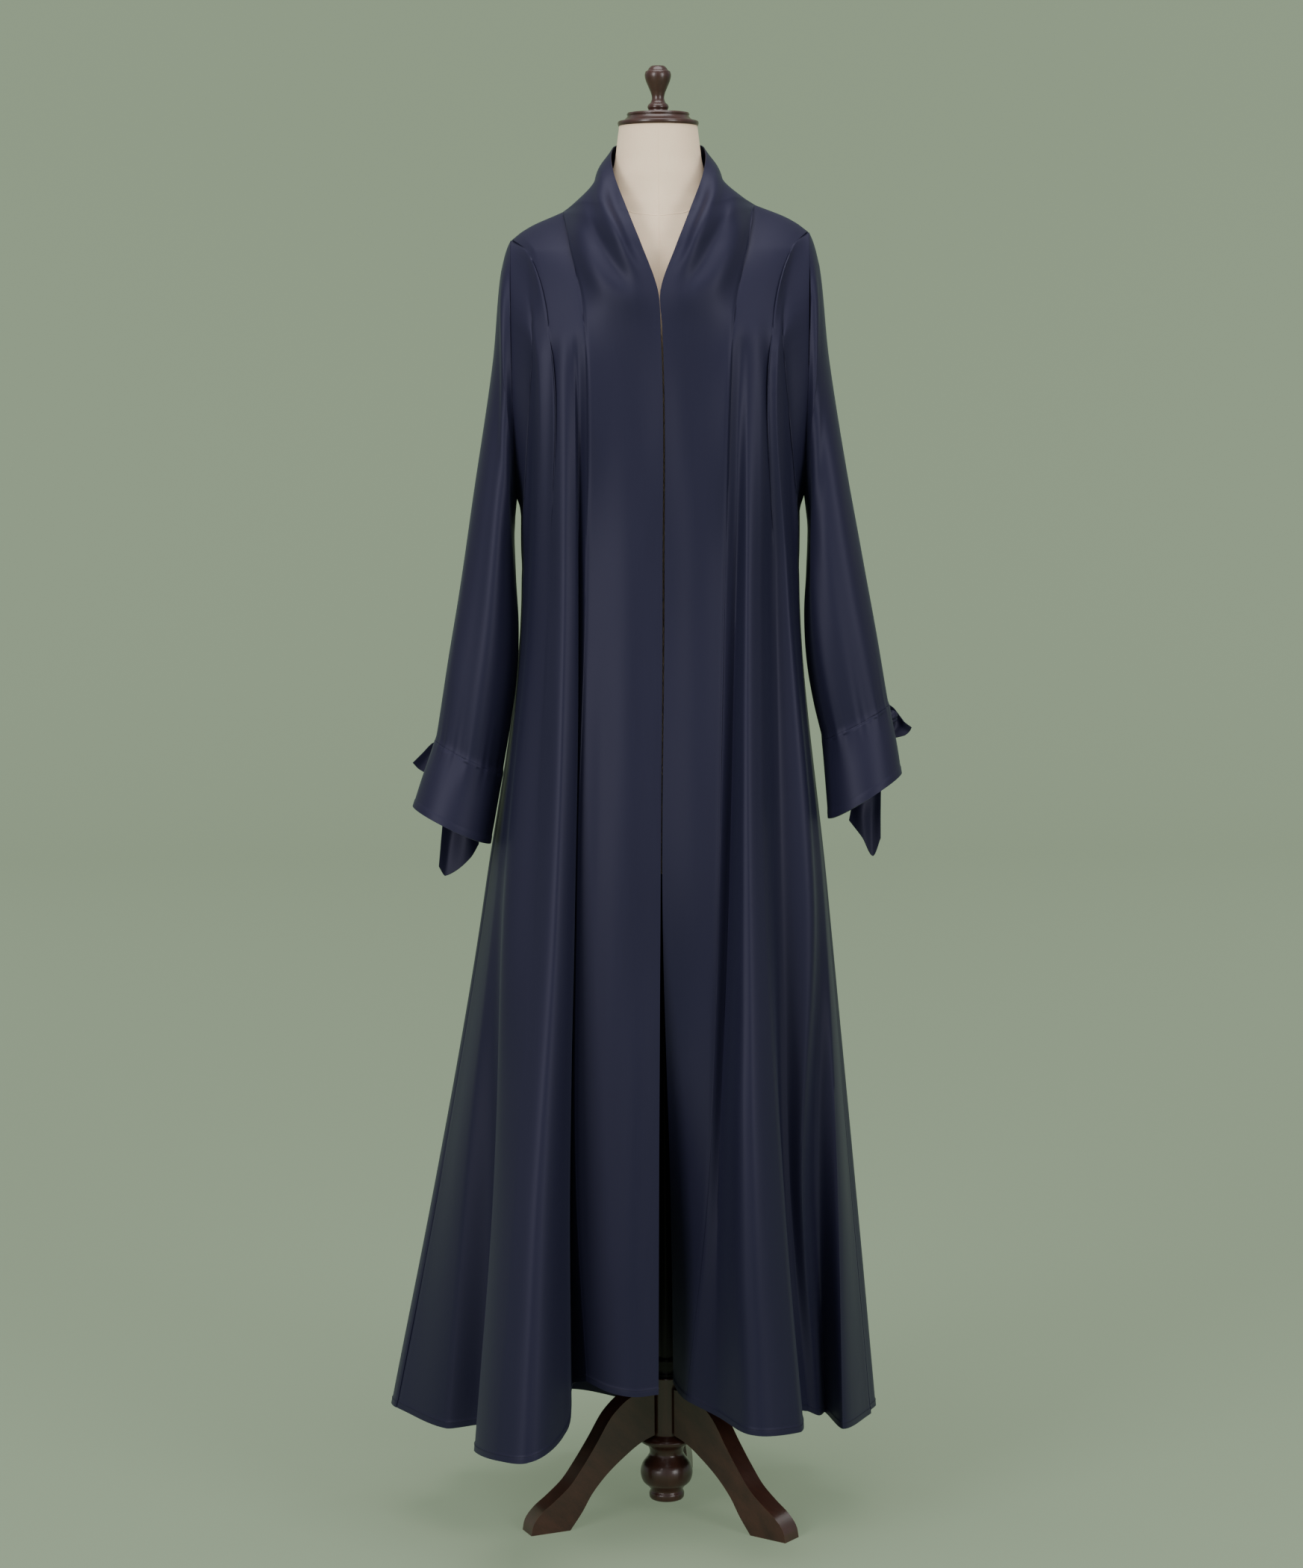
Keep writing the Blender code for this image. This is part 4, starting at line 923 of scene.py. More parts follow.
def crease_push(points, side, table):
    """Total push along the normal at each point, from every crease in the table."""
    flat = np.stack([points[..., 0] * side, points[..., 2]], axis=-1)
    push = np.zeros(points.shape[:-1])
    for path, width, depth in table.values():
        way = spline([(p[0], 0.0, p[1]) for p in path], np.linspace(0, len(path) - 1, 24))[:, ::2]
        best = np.full(push.shape, 1e9)
        along = np.zeros(push.shape)
        for k in range(len(way) - 1):
            step = way[k + 1] - way[k]
            share = np.clip(((flat - way[k]) @ step) / (step @ step), 0, 1)
            gap = np.linalg.norm(flat - way[k] - share[..., None] * step, axis=-1)
            nearer = gap < best
            best = np.where(nearer, gap, best)
            along = np.where(nearer, (k + share) / (len(way) - 1), along)
        ends = smooth_step(along / 0.3) * smooth_step((1 - along) / 0.35)
        push += depth * ends * np.exp(-((best / width) ** 2))
    return push


LEFT_CREASES = {
    # crease: path as (out, z) points, half width, depth (a valley is negative)
    "bust_outer": (((0.148, 1.500), (0.153, 1.440), (0.158, 1.340), (0.164, 1.180)), 0.013, -0.0020),
    "bust_outer_ridge": (((0.137, 1.515), (0.142, 1.460), (0.147, 1.350), (0.152, 1.160)), 0.012, 0.0016),
    "bust_middle": (((0.128, 1.505), (0.132, 1.460), (0.135, 1.360), (0.138, 1.120)), 0.010, -0.0024),
    "bust_middle_ridge": (((0.113, 1.510), (0.117, 1.460), (0.121, 1.330), (0.122, 1.080)), 0.013, 0.0020),
    "bust_inner": (((0.098, 1.500), (0.100, 1.440), (0.102, 1.330), (0.105, 1.150)), 0.008, -0.0015),
    "collar_roll": (((0.0735, 1.690), (0.0673, 1.655), (0.0541, 1.627), (0.0417, 1.600), (0.0195, 1.560)), 0.0085, 0.0052),
    "collar_valley": (((0.086, 1.660), (0.0810, 1.625), (0.0630, 1.590), (0.0450, 1.565), (0.0250, 1.540)), 0.0110, -0.0058),
    "collar_inner": (((0.0600, 1.690), (0.0530, 1.650), (0.0340, 1.604), (0.0150, 1.568)), 0.0065, -0.0026),
    "collar_fall": (((0.100, 1.640), (0.094, 1.610), (0.078, 1.570), (0.055, 1.530)), 0.012, 0.0026),
    "panel_soft": (((0.045, 1.500), (0.043, 1.300), (0.042, 1.050), (0.046, 0.700)), 0.018, 0.0014),
    "thigh_soft": (((0.070, 1.150), (0.074, 0.950), (0.082, 0.700), (0.086, 0.350)), 0.012, -0.0018),
    "hem_soft": (((0.030, 0.750), (0.034, 0.550), (0.040, 0.380), (0.042, 0.225)), 0.016, 0.0024),
}
RIGHT_CREASES = {
    "bust_inner": (((0.096, 1.510), (0.099, 1.460), (0.100, 1.360), (0.098, 1.160)), 0.009, -0.0018),
    "bust_ridge": (((0.114, 1.530), (0.120, 1.470), (0.127, 1.360), (0.134, 1.160)), 0.012, 0.0020),
    "bust_middle": (((0.127, 1.520), (0.132, 1.460), (0.139, 1.360), (0.147, 1.180)), 0.010, -0.0020),
    "bust_second": (((0.137, 1.520), (0.142, 1.470), (0.150, 1.360), (0.159, 1.220)), 0.011, 0.0016),
    "bust_outer": (((0.150, 1.510), (0.155, 1.450), (0.162, 1.360), (0.168, 1.220)), 0.010, -0.0016),
    "collar_roll": (((0.0700, 1.695), (0.0640, 1.660), (0.0510, 1.630), (0.0390, 1.600), (0.0180, 1.560)), 0.0085, 0.0050),
    "collar_valley": (((0.083, 1.668), (0.0780, 1.632), (0.0600, 1.594), (0.0430, 1.566), (0.0240, 1.540)), 0.0110, -0.0056),
    "collar_inner": (((0.0580, 1.690), (0.0510, 1.652), (0.0320, 1.604), (0.0140, 1.568)), 0.0065, -0.0026),
    "collar_fall": (((0.100, 1.646), (0.093, 1.612), (0.076, 1.570), (0.054, 1.530)), 0.012, 0.0024),
    "shoulder_tuck": (((0.118, 1.662), (0.113, 1.640), (0.107, 1.610), (0.102, 1.570)), 0.005, -0.0014),
    "panel_soft": (((0.040, 1.480), (0.038, 1.250), (0.034, 1.000), (0.030, 0.700)), 0.015, -0.0014),
    "hem_soft": (((0.090, 0.700), (0.088, 0.520), (0.084, 0.360), (0.080, 0.215)), 0.014, 0.0026),
}
ARMHOLE_CREASES = {
    "armhole_fold": (((0.1870, 1.600), (0.1880, 1.540), (0.1885, 1.450), (0.1890, 1.340), (0.1880, 1.220)), 0.0050, -0.0055),
}
print("creases:", len(LEFT_CREASES), "left,", len(RIGHT_CREASES), "right")

# %% [markdown]
# ### From a grid to sewn cloth
#
# A grid of middle points becomes a closed wall with an outer and an inner face. On the
# way it gets its creases, a slow unevenness, the small dip beside each seam and the
# doubled edge where the hem is turned up. The UV map is in metres along the cloth, so
# the weave has its true size and turns with every fold.

# %% Cloth wall
SEAM_DIP = 0.0009
TOP_DIP = 0.0002
SEAM_DIP_WIDTH = 0.0035
HEM_TURN = 0.0085
HEM_SWELL = 0.0005
UNEVEN = 0.0004


def edge_gap(grid, axis, end):
    """Distance of every point from one edge of the grid, measured along the cloth."""
    moved = grid if axis == 0 else grid.swapaxes(0, 1)
    moved = moved if end == 0 else moved[::-1]
    steps = np.linalg.norm(np.diff(moved, axis=0), axis=-1)
    gap = np.concatenate([np.zeros((1, moved.shape[1])), np.cumsum(steps, axis=0)])
    gap = gap if end == 0 else gap[::-1]
    return gap if axis == 0 else gap.swapaxes(0, 1)


def uneven(points, size, seed):
    """Slow noise from -1 to 1, longer up and down than across."""
    flat = points.reshape(-1, 3)
    stretched = flat * np.array([1.0, 1.0, 0.35]) / size
    values = [noise.noise(Vector((p[0] + seed, p[1], p[2]))) for p in stretched]
    return np.array(values).reshape(points.shape[:-1])


def pull_in(grid, low_u, high_u, low_v, high_v):
    moved = grid.copy()
    moved[0] += unit(grid[1] - grid[0]) * low_u
    moved[-1] += unit(grid[-2] - grid[-1]) * high_u
    moved[:, 0] += unit(grid[:, 1] - grid[:, 0]) * low_v
    moved[:, -1] += unit(grid[:, -2] - grid[:, -1]) * high_v
    return moved


def cloth_wall(name, grid, normals, closed=False, swell=None, look=None):
    """Closed wall of cloth about a grid, with its UV map in metres."""
    columns, rows = grid.shape[:2]
    half = WALL / 2 + (0.0 if swell is None else swell)
    half = np.broadcast_to(half, (columns, rows))[..., None]
    outer = grid + normals * half
    inner = grid - normals * half
    count = columns * rows
    u_steps = np.linalg.norm(np.diff(grid, axis=0), axis=-1).mean(axis=1)
    u = np.concatenate([[0.0], np.cumsum(u_steps)])
    v_steps = np.linalg.norm(np.diff(grid, axis=1), axis=-1).mean(axis=0)
    v = np.concatenate([[0.0], np.cumsum(v_steps)])
    faces, uvs = [], []
    spans = columns if closed else columns - 1
    round_step = np.linalg.norm(grid[0] - grid[-1], axis=-1).mean()
    for c in range(spans):
        d = (c + 1) % columns
        u_end = u[d] if d else u[c] + round_step
        for r in range(rows - 1):
            a, b, e, f = c * rows + r, d * rows + r, d * rows + r + 1, c * rows + r + 1
            corner = [(u[c], v[r]), (u_end, v[r]), (u_end, v[r + 1]), (u[c], v[r + 1])]
            faces += [(a, b, e, f), (count + f, count + e, count + b, count + a)]
            uvs += [corner, corner[::-1]]
        for r in (0, rows - 1):
            a, b = c * rows + r, d * rows + r
            faces.append((b, a, count + a, count + b))
            uvs.append([(u_end, v[r]), (u[c], v[r]), (u[c], v[r] + WALL), (u_end, v[r] + WALL)])
    if not closed:
        for c in (0, columns - 1):
            for r in range(rows - 1):
                a, b = c * rows + r, c * rows + r + 1
                faces.append((a, b, count + b, count + a))
                uvs.append([(u[c], v[r]), (u[c], v[r + 1]), (u[c] + WALL, v[r + 1]), (u[c] + WALL, v[r])])
    mesh = bpy.data.meshes.new(name)
    mesh.from_pydata(np.concatenate([outer.reshape(-1, 3), inner.reshape(-1, 3)]).tolist(), [], faces)
    layer = mesh.uv_layers.new(name="cloth")
    layer.data.foreach_set("uv", np.array([p for face in uvs for p in face], dtype=float).ravel())
    work = bmesh.new()
    work.from_mesh(mesh)
    bmesh.ops.recalc_face_normals(work, faces=work.faces)
    if work.calc_volume(signed=True) < 0:
        bmesh.ops.reverse_faces(work, faces=work.faces)
    work.to_mesh(mesh)
    work.free()
    mesh.materials.append(look or SATIN)
    mesh.shade_smooth()
    mesh.set_sharp_from_angle(angle=math.radians(50))
    item = bpy.data.objects.new(name, mesh)
    bpy.context.collection.objects.link(item)
    item.location = (0, 0, 0)
    return item


def settle(points):
    """Points about the stand's axis, moved to where the stand stands."""
    return points + np.array([AXIS.x, AXIS.y, 0.0])


print("cloth wall", WALL * 1000, "mm thick")

# %% Dress the body pieces
FREE_EDGE = {"front_panel_left": 0, "front_panel_right": 0}


def dress_piece(name, grid, normals, creases, side, seam_ends):
    """Grid with its creases, unevenness, seam dips and hem, and the swell of the wall."""
    push = crease_push(grid, side, creases) * smooth_step(-normals[..., 1] * 4) if creases else 0.0
    calm = smooth_step((1.60 - grid[..., 2]) / 0.25)
    push = push + UNEVEN * (0.25 + 0.75 * calm) * uneven(grid, 0.055, 3.0 * side)
    push = push + 2.2 * UNEVEN * calm * uneven(grid, 0.16, 11.0 + side)
    for axis, end in seam_ends:
        gap = edge_gap(grid, axis, end)
        depth = TOP_DIP if axis == 1 else SEAM_DIP * smooth_step((1.66 - grid[..., 2]) / 0.05)
        push = push - depth * np.exp(-((gap / SEAM_DIP_WIDTH) ** 2))
    hem = edge_gap(grid, 1, 0)
    swell = HEM_SWELL * smooth_step((HEM_TURN + 0.0012 - hem) / 0.0024)
    return grid + normals * push[..., None], swell


PIECE_SETUP = {
    # piece: creases, side, seams as (axis, end)
    "front_panel_left": (LEFT_CREASES, -1, [(0, 1)]),
    "front_panel_right": (RIGHT_CREASES, 1, [(0, 1)]),
    "side_front_left": (LEFT_CREASES, -1, [(0, 0), (0, 1), (1, 1)]),
    "side_front_right": (RIGHT_CREASES, 1, [(0, 0), (0, 1), (1, 1)]),
    "back": (None, 0, [(0, 0), (0, 1), (1, 1)]),
}
cloth = {}
hem_edges = {}
for name, (creases, side, seams) in PIECE_SETUP.items():
    grid, normals = grids[name]
    half_gap = SEAM_GAP / 2
    low_u = 0.0 if name in FREE_EDGE else half_gap
    grid = pull_in(grid, low_u, half_gap, 0.0, half_gap)
    grid, swell = dress_piece(name, grid, normals, creases, side, seams)
    grid = settle(grid)
    cloth[name] = cloth_wall(name + "_cloth", grid, normals, swell=swell)
    hem_edges[name] = grid, normals
    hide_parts(name)
    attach(cloth[name], "root")
    print(name, len(cloth[name].data.polygons), "faces")

# %% [markdown]
# ### Sleeves and cuffs
#
# A sleeve is a stack of flattened rings from the armhole to the cuff seam. The wide
# sleeve is gathered into the deep cuff, so small puckers fan up from that seam. The
# cuff itself is smooth, with a doubled lower edge.

# %% Sleeve rings
SLEEVE_AROUND = 144
SLEEVE_ROW_COUNT = 110
CUFF_ROW_COUNT = 34
PUCKER_DEPTH = 0.0004
PUCKERS_ROUND = 19


def ring_grid(side, table, shares, around=SLEEVE_AROUND, before=None):
    """Rings along a table of rows; a row before the first only sets the direction there."""
    if before is None:
        fine = spline(table, shares)
    else:
        fine = spline((before, *table), [share + 1 for share in shares])
    angles = [2 * math.pi * k / around for k in range(around)]
    return np.array([[ring_point(side, row, angle) for row in fine] for angle in angles])


SLEEVE_CREASES = {
    # crease: angle round the ring in degrees, start and end as shares down, width in degrees, depth
    -1: {"front_ridge": (62, 0.10, 1.0, 20, 0.0024), "front_valley": (98, 0.20, 1.0, 17, -0.0028),
         "front_inner": (136, 0.25, 0.95, 18, 0.0028), "elbow": (30, 0.45, 0.80, 12, -0.0014),
         "back_valley": (250, 0.12, 1.0, 18, -0.0036), "back_ridge": (285, 0.10, 1.0, 18, 0.0030),
         "back_inner": (215, 0.25, 0.95, 16, 0.0030)},
    1: {"front_ridge": (150, 0.12, 1.0, 17, 0.0030), "front_valley": (120, 0.20, 1.0, 14, -0.0030),
        "front_outer": (84, 0.22, 1.0, 18, 0.0020), "front_dip": (50, 0.35, 0.95, 15, -0.0014),
        "back_valley": (240, 0.12, 1.0, 18, -0.0036), "back_ridge": (275, 0.10, 1.0, 18, 0.0030),
        "back_inner": (208, 0.22, 0.95, 15, 0.0030)},
}


def ring_push(grid, side, low, high):
    """Push of the sleeve's long folds; low and high are the grid's shares down the sleeve."""
    around, rows = grid.shape[:2]
    angle = np.degrees(2 * math.pi * np.arange(around) / around)[:, None]
    share = np.linspace(low, high, rows)[None, :]
    push = np.zeros((around, rows))
    for centre, start, end, width, depth in SLEEVE_CREASES[side].values():
        drift = centre + 7.0 * np.sin(2.6 * share + centre)
        away = (angle - drift + 180) % 360 - 180
        fade = smooth_step((share - start) / 0.18) * smooth_step((end + 0.12 - share) / 0.14)
        push = push + depth * fade * np.exp(-((away / width) ** 2))
    return push


def pucker_push(grid, gap, reach, side):
    around = len(grid)
    turn = 2 * math.pi * np.arange(around)[:, None] / around
    wave = np.sin(PUCKERS_ROUND * turn + 1.3 * np.sin(3 * turn + side)) + 0.5 * np.sin(31 * turn + side)
    return PUCKER_DEPTH * wave * np.exp(-gap / reach)


print("sleeve creases:", len(SLEEVE_CREASES[-1]), "and", len(SLEEVE_CREASES[1]))

# %% Sleeves
SLEEVE_TABLES = {"left": (-1, LEFT_SLEEVE, LEFT_CUFF), "right": (1, RIGHT_SLEEVE, RIGHT_CUFF)}
sleeve_ends = {}
for word, (side, sleeve_rows, cuff_rows) in SLEEVE_TABLES.items():
    shares = np.linspace(0, len(sleeve_rows) - 1, SLEEVE_ROW_COUNT)
    near_cuff = len(sleeve_rows) - 1 - np.array([0.004, 0.012, 0.025, 0.04])
    shares = np.unique(np.concatenate([shares, near_cuff]))
    first_row = sleeve_rows[0]
    before = (first_row[0] - 0.020, first_row[1] + 0.014, first_row[2] - 0.003, first_row[3] + 0.03, *first_row[4:])
    grid = ring_grid(side, sleeve_rows, shares, before=before)
    turn = 2 * math.pi * np.arange(SLEEVE_AROUND) / SLEEVE_AROUND
    open_share = 0.5 - 0.5 * np.cos(np.minimum(math.pi, 1.6 * np.minimum(turn, 2 * math.pi - turn)))
    grid[:, 0, 0] += side * (ARMHOLE_GAP + ARMHOLE_EASE * open_share)
    grid[:, -1] += unit(grid[:, -2] - grid[:, -1]) * SEAM_GAP / 2
    normals = grid_normals(grid, closed=True) * -side
    gap = edge_gap(grid, 1, 1)
    push = ring_push(grid, side, 0.0, 1.0) + pucker_push(grid, gap, 0.030, side)
    push = push + crease_push(grid, side, ARMHOLE_CREASES) * smooth_step(np.abs(normals[..., 1]) * 3)
    push = push - SEAM_DIP * np.exp(-((gap / SEAM_DIP_WIDTH) ** 2))
    push = push + UNEVEN * uneven(grid, 0.05, 5.0 + side)
    grid = grid + normals * push[..., None]
    sleeve_ends[word] = normals[:, -1], push[:, -1]
    name = "sleeve_" + word
    cloth[name] = cloth_wall(name + "_cloth", settle(grid), normals, closed=True)
    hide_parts(name)
    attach(cloth[name], "root")
    print(name, len(cloth[name].data.polygons), "faces")

# %% Cuffs
CUFF_HEM = 0.010
cuff_grids = {}
for word, (side, sleeve_rows, cuff_rows) in SLEEVE_TABLES.items():
    last = len(cuff_rows) - 1
    shares = np.unique(np.concatenate([
        np.linspace(0, last, CUFF_ROW_COUNT), [0.004, 0.03, 0.06], last - np.array([0.02, 0.05, 0.24, 0.28])]))
    grid = ring_grid(side, cuff_rows, shares)
    grid[:, 0] = ring_grid(side, sleeve_rows, [len(sleeve_rows) - 1.0])[:, 0]
    normals = grid_normals(grid, closed=True) * -side
    end_normals, end_push = sleeve_ends[word]
    normals[:, 0] = end_normals
    grid[:, 0] += unit(grid[:, 1] - grid[:, 0]) * SEAM_GAP / 2
    gap = edge_gap(grid, 1, 0)
    fade = np.exp(-((gap / 0.030) ** 2))
    folds = ring_push(grid, side, 1.0, 1.12)
    push = folds * (0.4 + 0.6 * fade) + (end_push - folds[:, 0])[:, None] * np.exp(-gap / 0.012)
    push[:, 0] = end_push
    push = push + 1.5 * UNEVEN * uneven(grid, 0.045, 9.0 + side) * smooth_step(gap / 0.02)
    grid = grid + normals * push[..., None]
    below = edge_gap(grid, 1, 1)
    swell = 0.0003 + HEM_SWELL * smooth_step((CUFF_HEM - below) / 0.002)
    swell = swell * smooth_step(gap / 0.004)
    name = "cuff_" + word
    grid = settle(grid)
    cuff_grids[word] = grid, normals, below
    cloth[name] = cloth_wall(name + "_cloth", grid, normals, closed=True, swell=swell)
    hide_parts(name)
    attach(cloth[name], "root")
    print(name, len(cloth[name].data.polygons), "faces")

# %% [markdown]
# ### Knots and tie ends
#
# A narrow band closes each cuff at the back of the wrist and is tied in a single knot.
# The knot is a soft ball with a groove where the band wraps over itself. Each free end
# is a strip cut on the slant, cupped along its length by the pull of the knot.

# %% Tie pieces
KNOT_RADII = (0.0078, 0.0070, 0.0088)
TIES = {
    # piece: lines along the strip from the knot to its slanted cut, edge to edge, as out, y, z
    "left": {
        "knot": (0.2775, 0.0014, 0.9857),
        "tail_upper": (
            ((0.2790, 0.0040, 0.9950), (0.2880, 0.0050, 0.9915), (0.3000, 0.0065, 0.9795), (0.3126, 0.0050, 0.9672)),
            ((0.2780, 0.0055, 0.9880), (0.2860, 0.0075, 0.9820), (0.2960, 0.0085, 0.9710), (0.3058, 0.0070, 0.9595)),
            ((0.2770, 0.0045, 0.9810), (0.2830, 0.0055, 0.9730), (0.2890, 0.0070, 0.9620), (0.2940, 0.0060, 0.9525))),
        "tail_hanging": (
            ((0.2790, 0.0045, 0.9790), (0.2795, 0.0110, 0.9400), (0.2765, 0.0130, 0.8977),
             (0.2790, 0.0120, 0.8650), (0.2819, 0.0105, 0.8352)),
            ((0.2775, 0.0050, 0.9785), (0.2700, 0.0150, 0.9400), (0.2640, 0.0175, 0.8977),
             (0.2690, 0.0165, 0.8600), (0.2745, 0.0120, 0.8229)),
            ((0.2760, 0.0050, 0.9785), (0.2560, 0.0155, 0.9400), (0.2470, 0.0130, 0.8977),
             (0.2450, 0.0080, 0.8700), (0.2440, 0.0070, 0.8440)),
            ((0.2745, 0.0045, 0.9790), (0.2420, 0.0150, 0.9400), (0.2306, 0.0180, 0.8960),
             (0.2300, 0.0170, 0.8800), (0.2317, 0.0140, 0.8627))),
    },
    "right": {
        "knot": (0.2862, -0.0112, 1.022),
        "tail_upper": (
            ((0.2800, -0.0080, 1.0400), (0.2890, -0.0070, 1.0335), (0.2985, -0.0055, 1.0210),
             (0.3018, -0.0080, 1.0165), (0.3118, -0.0070, 1.0089)),
            ((0.2810, -0.0060, 1.0300), (0.2890, -0.0035, 1.0240), (0.2960, -0.0025, 1.0140),
             (0.3000, -0.0055, 1.0085), (0.3085, -0.0060, 1.0030)),
            ((0.2820, -0.0070, 1.0200), (0.2870, -0.0060, 1.0120), (0.2910, -0.0045, 1.0055),
             (0.2950, -0.0070, 1.0010), (0.3032, -0.0075, 0.9990)),
            ((0.2815, -0.0080, 1.0120), (0.2840, -0.0080, 1.0050), (0.2860, -0.0070, 1.0000),
             (0.2870, -0.0085, 0.9965), (0.2885, -0.0080, 0.9955))),
        "tail_hanging": (
            ((0.2875, -0.0080, 1.0150), (0.2830, 0.0010, 0.9850), (0.2752, 0.0080, 0.9405),
             (0.2740, 0.0090, 0.9050), (0.2740, 0.0080, 0.8680)),
            ((0.2865, -0.0075, 1.0145), (0.2760, 0.0050, 0.9800), (0.2680, 0.0115, 0.9350),
             (0.2635, 0.0130, 0.8950), (0.2644, 0.0095, 0.8451)),
            ((0.2855, -0.0075, 1.0145), (0.2660, 0.0085, 0.9750), (0.2540, 0.0115, 0.9300),
             (0.2505, 0.0060, 0.9000), (0.2503, 0.0055, 0.8697)),
            ((0.2845, -0.0080, 1.0150), (0.2580, 0.0100, 0.9700), (0.2440, 0.0125, 0.9300),
             (0.2385, 0.0130, 0.9100), (0.2343, 0.0110, 0.8905))),
    },
}
TAIL_ACROSS = 25
TAIL_ALONG = 48
TAIL_WALL = 0.0014


def tie_knot(name, side, centre):
    around, up = 40, 24
    points = []
    for r in range(1, up):
        level = math.pi * r / up
        for k in range(around):
            turn = 2 * math.pi * k / around
            wrap = math.sin(2.0 * turn + 2.2 * math.cos(level))
            groove = 1.0 + 0.07 * wrap - 0.20 * math.exp(-((math.cos(level) - 0.35 * math.sin(turn)) / 0.16) ** 2)
            spot = Vector((math.sin(level) * math.cos(turn), math.sin(level) * math.sin(turn), math.cos(level)))
            points.append([side * centre[0] + KNOT_RADII[0] * groove * spot.x * side,
                           centre[1] + KNOT_RADII[1] * groove * spot.y,
                           centre[2] + KNOT_RADII[2] * groove * spot.z])
    faces = []
    for r in range(up - 2):
        for k in range(around):
            n = (k + 1) % around
            faces.append((r * around + k, r * around + n, (r + 1) * around + n, (r + 1) * around + k))
    faces.append(tuple(range(around)))
    faces.append(tuple((up - 2) * around + k for k in range(around)))
    return closed_piece(name, settle(np.array(points)), faces, THREAD_LOOK)


def closed_piece(name, points, faces, look, angle=45.0):
    """Closed mesh with outward faces and a box-projected UV map in metres."""
    mesh = bpy.data.meshes.new(name)
    mesh.from_pydata([tuple(p) for p in points], [], faces)
    work = bmesh.new()
    work.from_mesh(mesh)
    bmesh.ops.recalc_face_normals(work, faces=work.faces)
    if work.calc_volume(signed=True) < 0:
        bmesh.ops.reverse_faces(work, faces=work.faces)
    layer = work.loops.layers.uv.new("cloth")
    for face in work.faces:
        flat = max(range(3), key=lambda k: abs(face.normal[k]))
        for loop in face.loops:
            place = loop.vert.co
            loop[layer].uv = [(place.y, place.z), (place.x, place.z), (place.x, place.y)][flat]
    work.to_mesh(mesh)
    work.free()
    mesh.materials.append(look)
    mesh.shade_smooth()
    mesh.set_sharp_from_angle(angle=math.radians(angle))
    item = bpy.data.objects.new(name, mesh)
    bpy.context.collection.objects.link(item)
    return item


def tie_tail(name, side, lines):
    """Strip of cloth drawn through its lines; the last points of the lines make the slanted cut."""
    along = [spline(line, np.linspace(0, len(line) - 1, TAIL_ALONG)) for line in lines]
    places = np.linspace(0, len(lines) - 1, TAIL_ACROSS)
    grid = np.array([spline([line[k] for line in along], places) for k in range(TAIL_ALONG)])
    grid = grid.swapaxes(0, 1) * np.array([side, 1, 1])
    half = np.full(grid.shape[:2], (TAIL_WALL - WALL) / 2)
    return cloth_wall(name, settle(grid), grid_normals(grid), swell=half)


THREAD_LOOK = SATIN
tails = {}
for word, side in (("left", -1), ("right", 1)):
    parts = TIES[word]
    knot = tie_knot("tie_knot_" + word + "_cloth", side, parts["knot"])
    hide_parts("tie_knot_" + word)
    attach(knot, "root")
    cloth["tie_knot_" + word] = knot
    for kind in ("tail_upper", "tail_hanging"):
        name = "tie_" + kind + "_" + word
        cloth[name] = tie_tail(name + "_cloth", side, parts[kind])
        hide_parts(name)
        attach(cloth[name], "root")
    print(word, "tie made")

# %% [markdown]
# ## Stitches
#
# The hem and the cuffs are turned up and stitched. One Geometry Nodes tree sews every
# line: it takes a row of edges, sets points a stitch apart, lays a small rounded bar on
# each and turns it along the line. Realize Instances makes it a real mesh at the end.

# %% Stitch tree
STITCH_PITCH = 0.0034
STITCH_LENGTH = 0.0025
STITCH_RADIUS = 0.00028

stitch_tree = bpy.data.node_groups.new("row_of_stitches", "GeometryNodeTree")
face = stitch_tree.interface
face.new_socket("Geometry", in_out="INPUT", socket_type="NodeSocketGeometry")
for label, value in (("Pitch", STITCH_PITCH), ("Length", STITCH_LENGTH), ("Radius", STITCH_RADIUS)):
    socket = face.new_socket(label, in_out="INPUT", socket_type="NodeSocketFloat")
    socket.default_value = value
face.new_socket("Geometry", in_out="OUTPUT", socket_type="NodeSocketGeometry")
nodes, links = stitch_tree.nodes, stitch_tree.links
entry, exit_ = nodes.new("NodeGroupInput"), nodes.new("NodeGroupOutput")
as_curve = nodes.new("GeometryNodeMeshToCurve")
spaced = nodes.new("GeometryNodeResampleCurve")
spaced.mode = "LENGTH"
tangent = nodes.new("GeometryNodeInputTangent")
turn = nodes.new("FunctionNodeAlignRotationToVector")
turn.axis = "Z"
bar = nodes.new("GeometryNodeMeshCylinder")
bar.fill_type = "TRIANGLE_FAN"
bar.inputs["Vertices"].default_value = 6
lay = nodes.new("GeometryNodeInstanceOnPoints")
real = nodes.new("GeometryNodeRealizeInstances")
paint = nodes.new("GeometryNodeSetMaterial")
paint.inputs["Material"].default_value = THREAD
links.new(entry.outputs["Geometry"], as_curve.inputs["Mesh"])
links.new(as_curve.outputs["Curve"], spaced.inputs["Curve"])
links.new(entry.outputs["Pitch"], spaced.inputs["Length"])
links.new(spaced.outputs["Curve"], lay.inputs["Points"])
links.new(tangent.outputs["Tangent"], turn.inputs["Vector"])
links.new(turn.outputs["Rotation"], lay.inputs["Rotation"])
links.new(entry.outputs["Radius"], bar.inputs["Radius"])
links.new(entry.outputs["Length"], bar.inputs["Depth"])
links.new(bar.outputs["Mesh"], lay.inputs["Instance"])
links.new(lay.outputs["Instances"], real.inputs["Geometry"])
links.new(real.outputs["Geometry"], paint.inputs["Geometry"])
links.new(paint.outputs["Geometry"], exit_.inputs["Geometry"])
print("stitch tree:", len(nodes), "nodes")


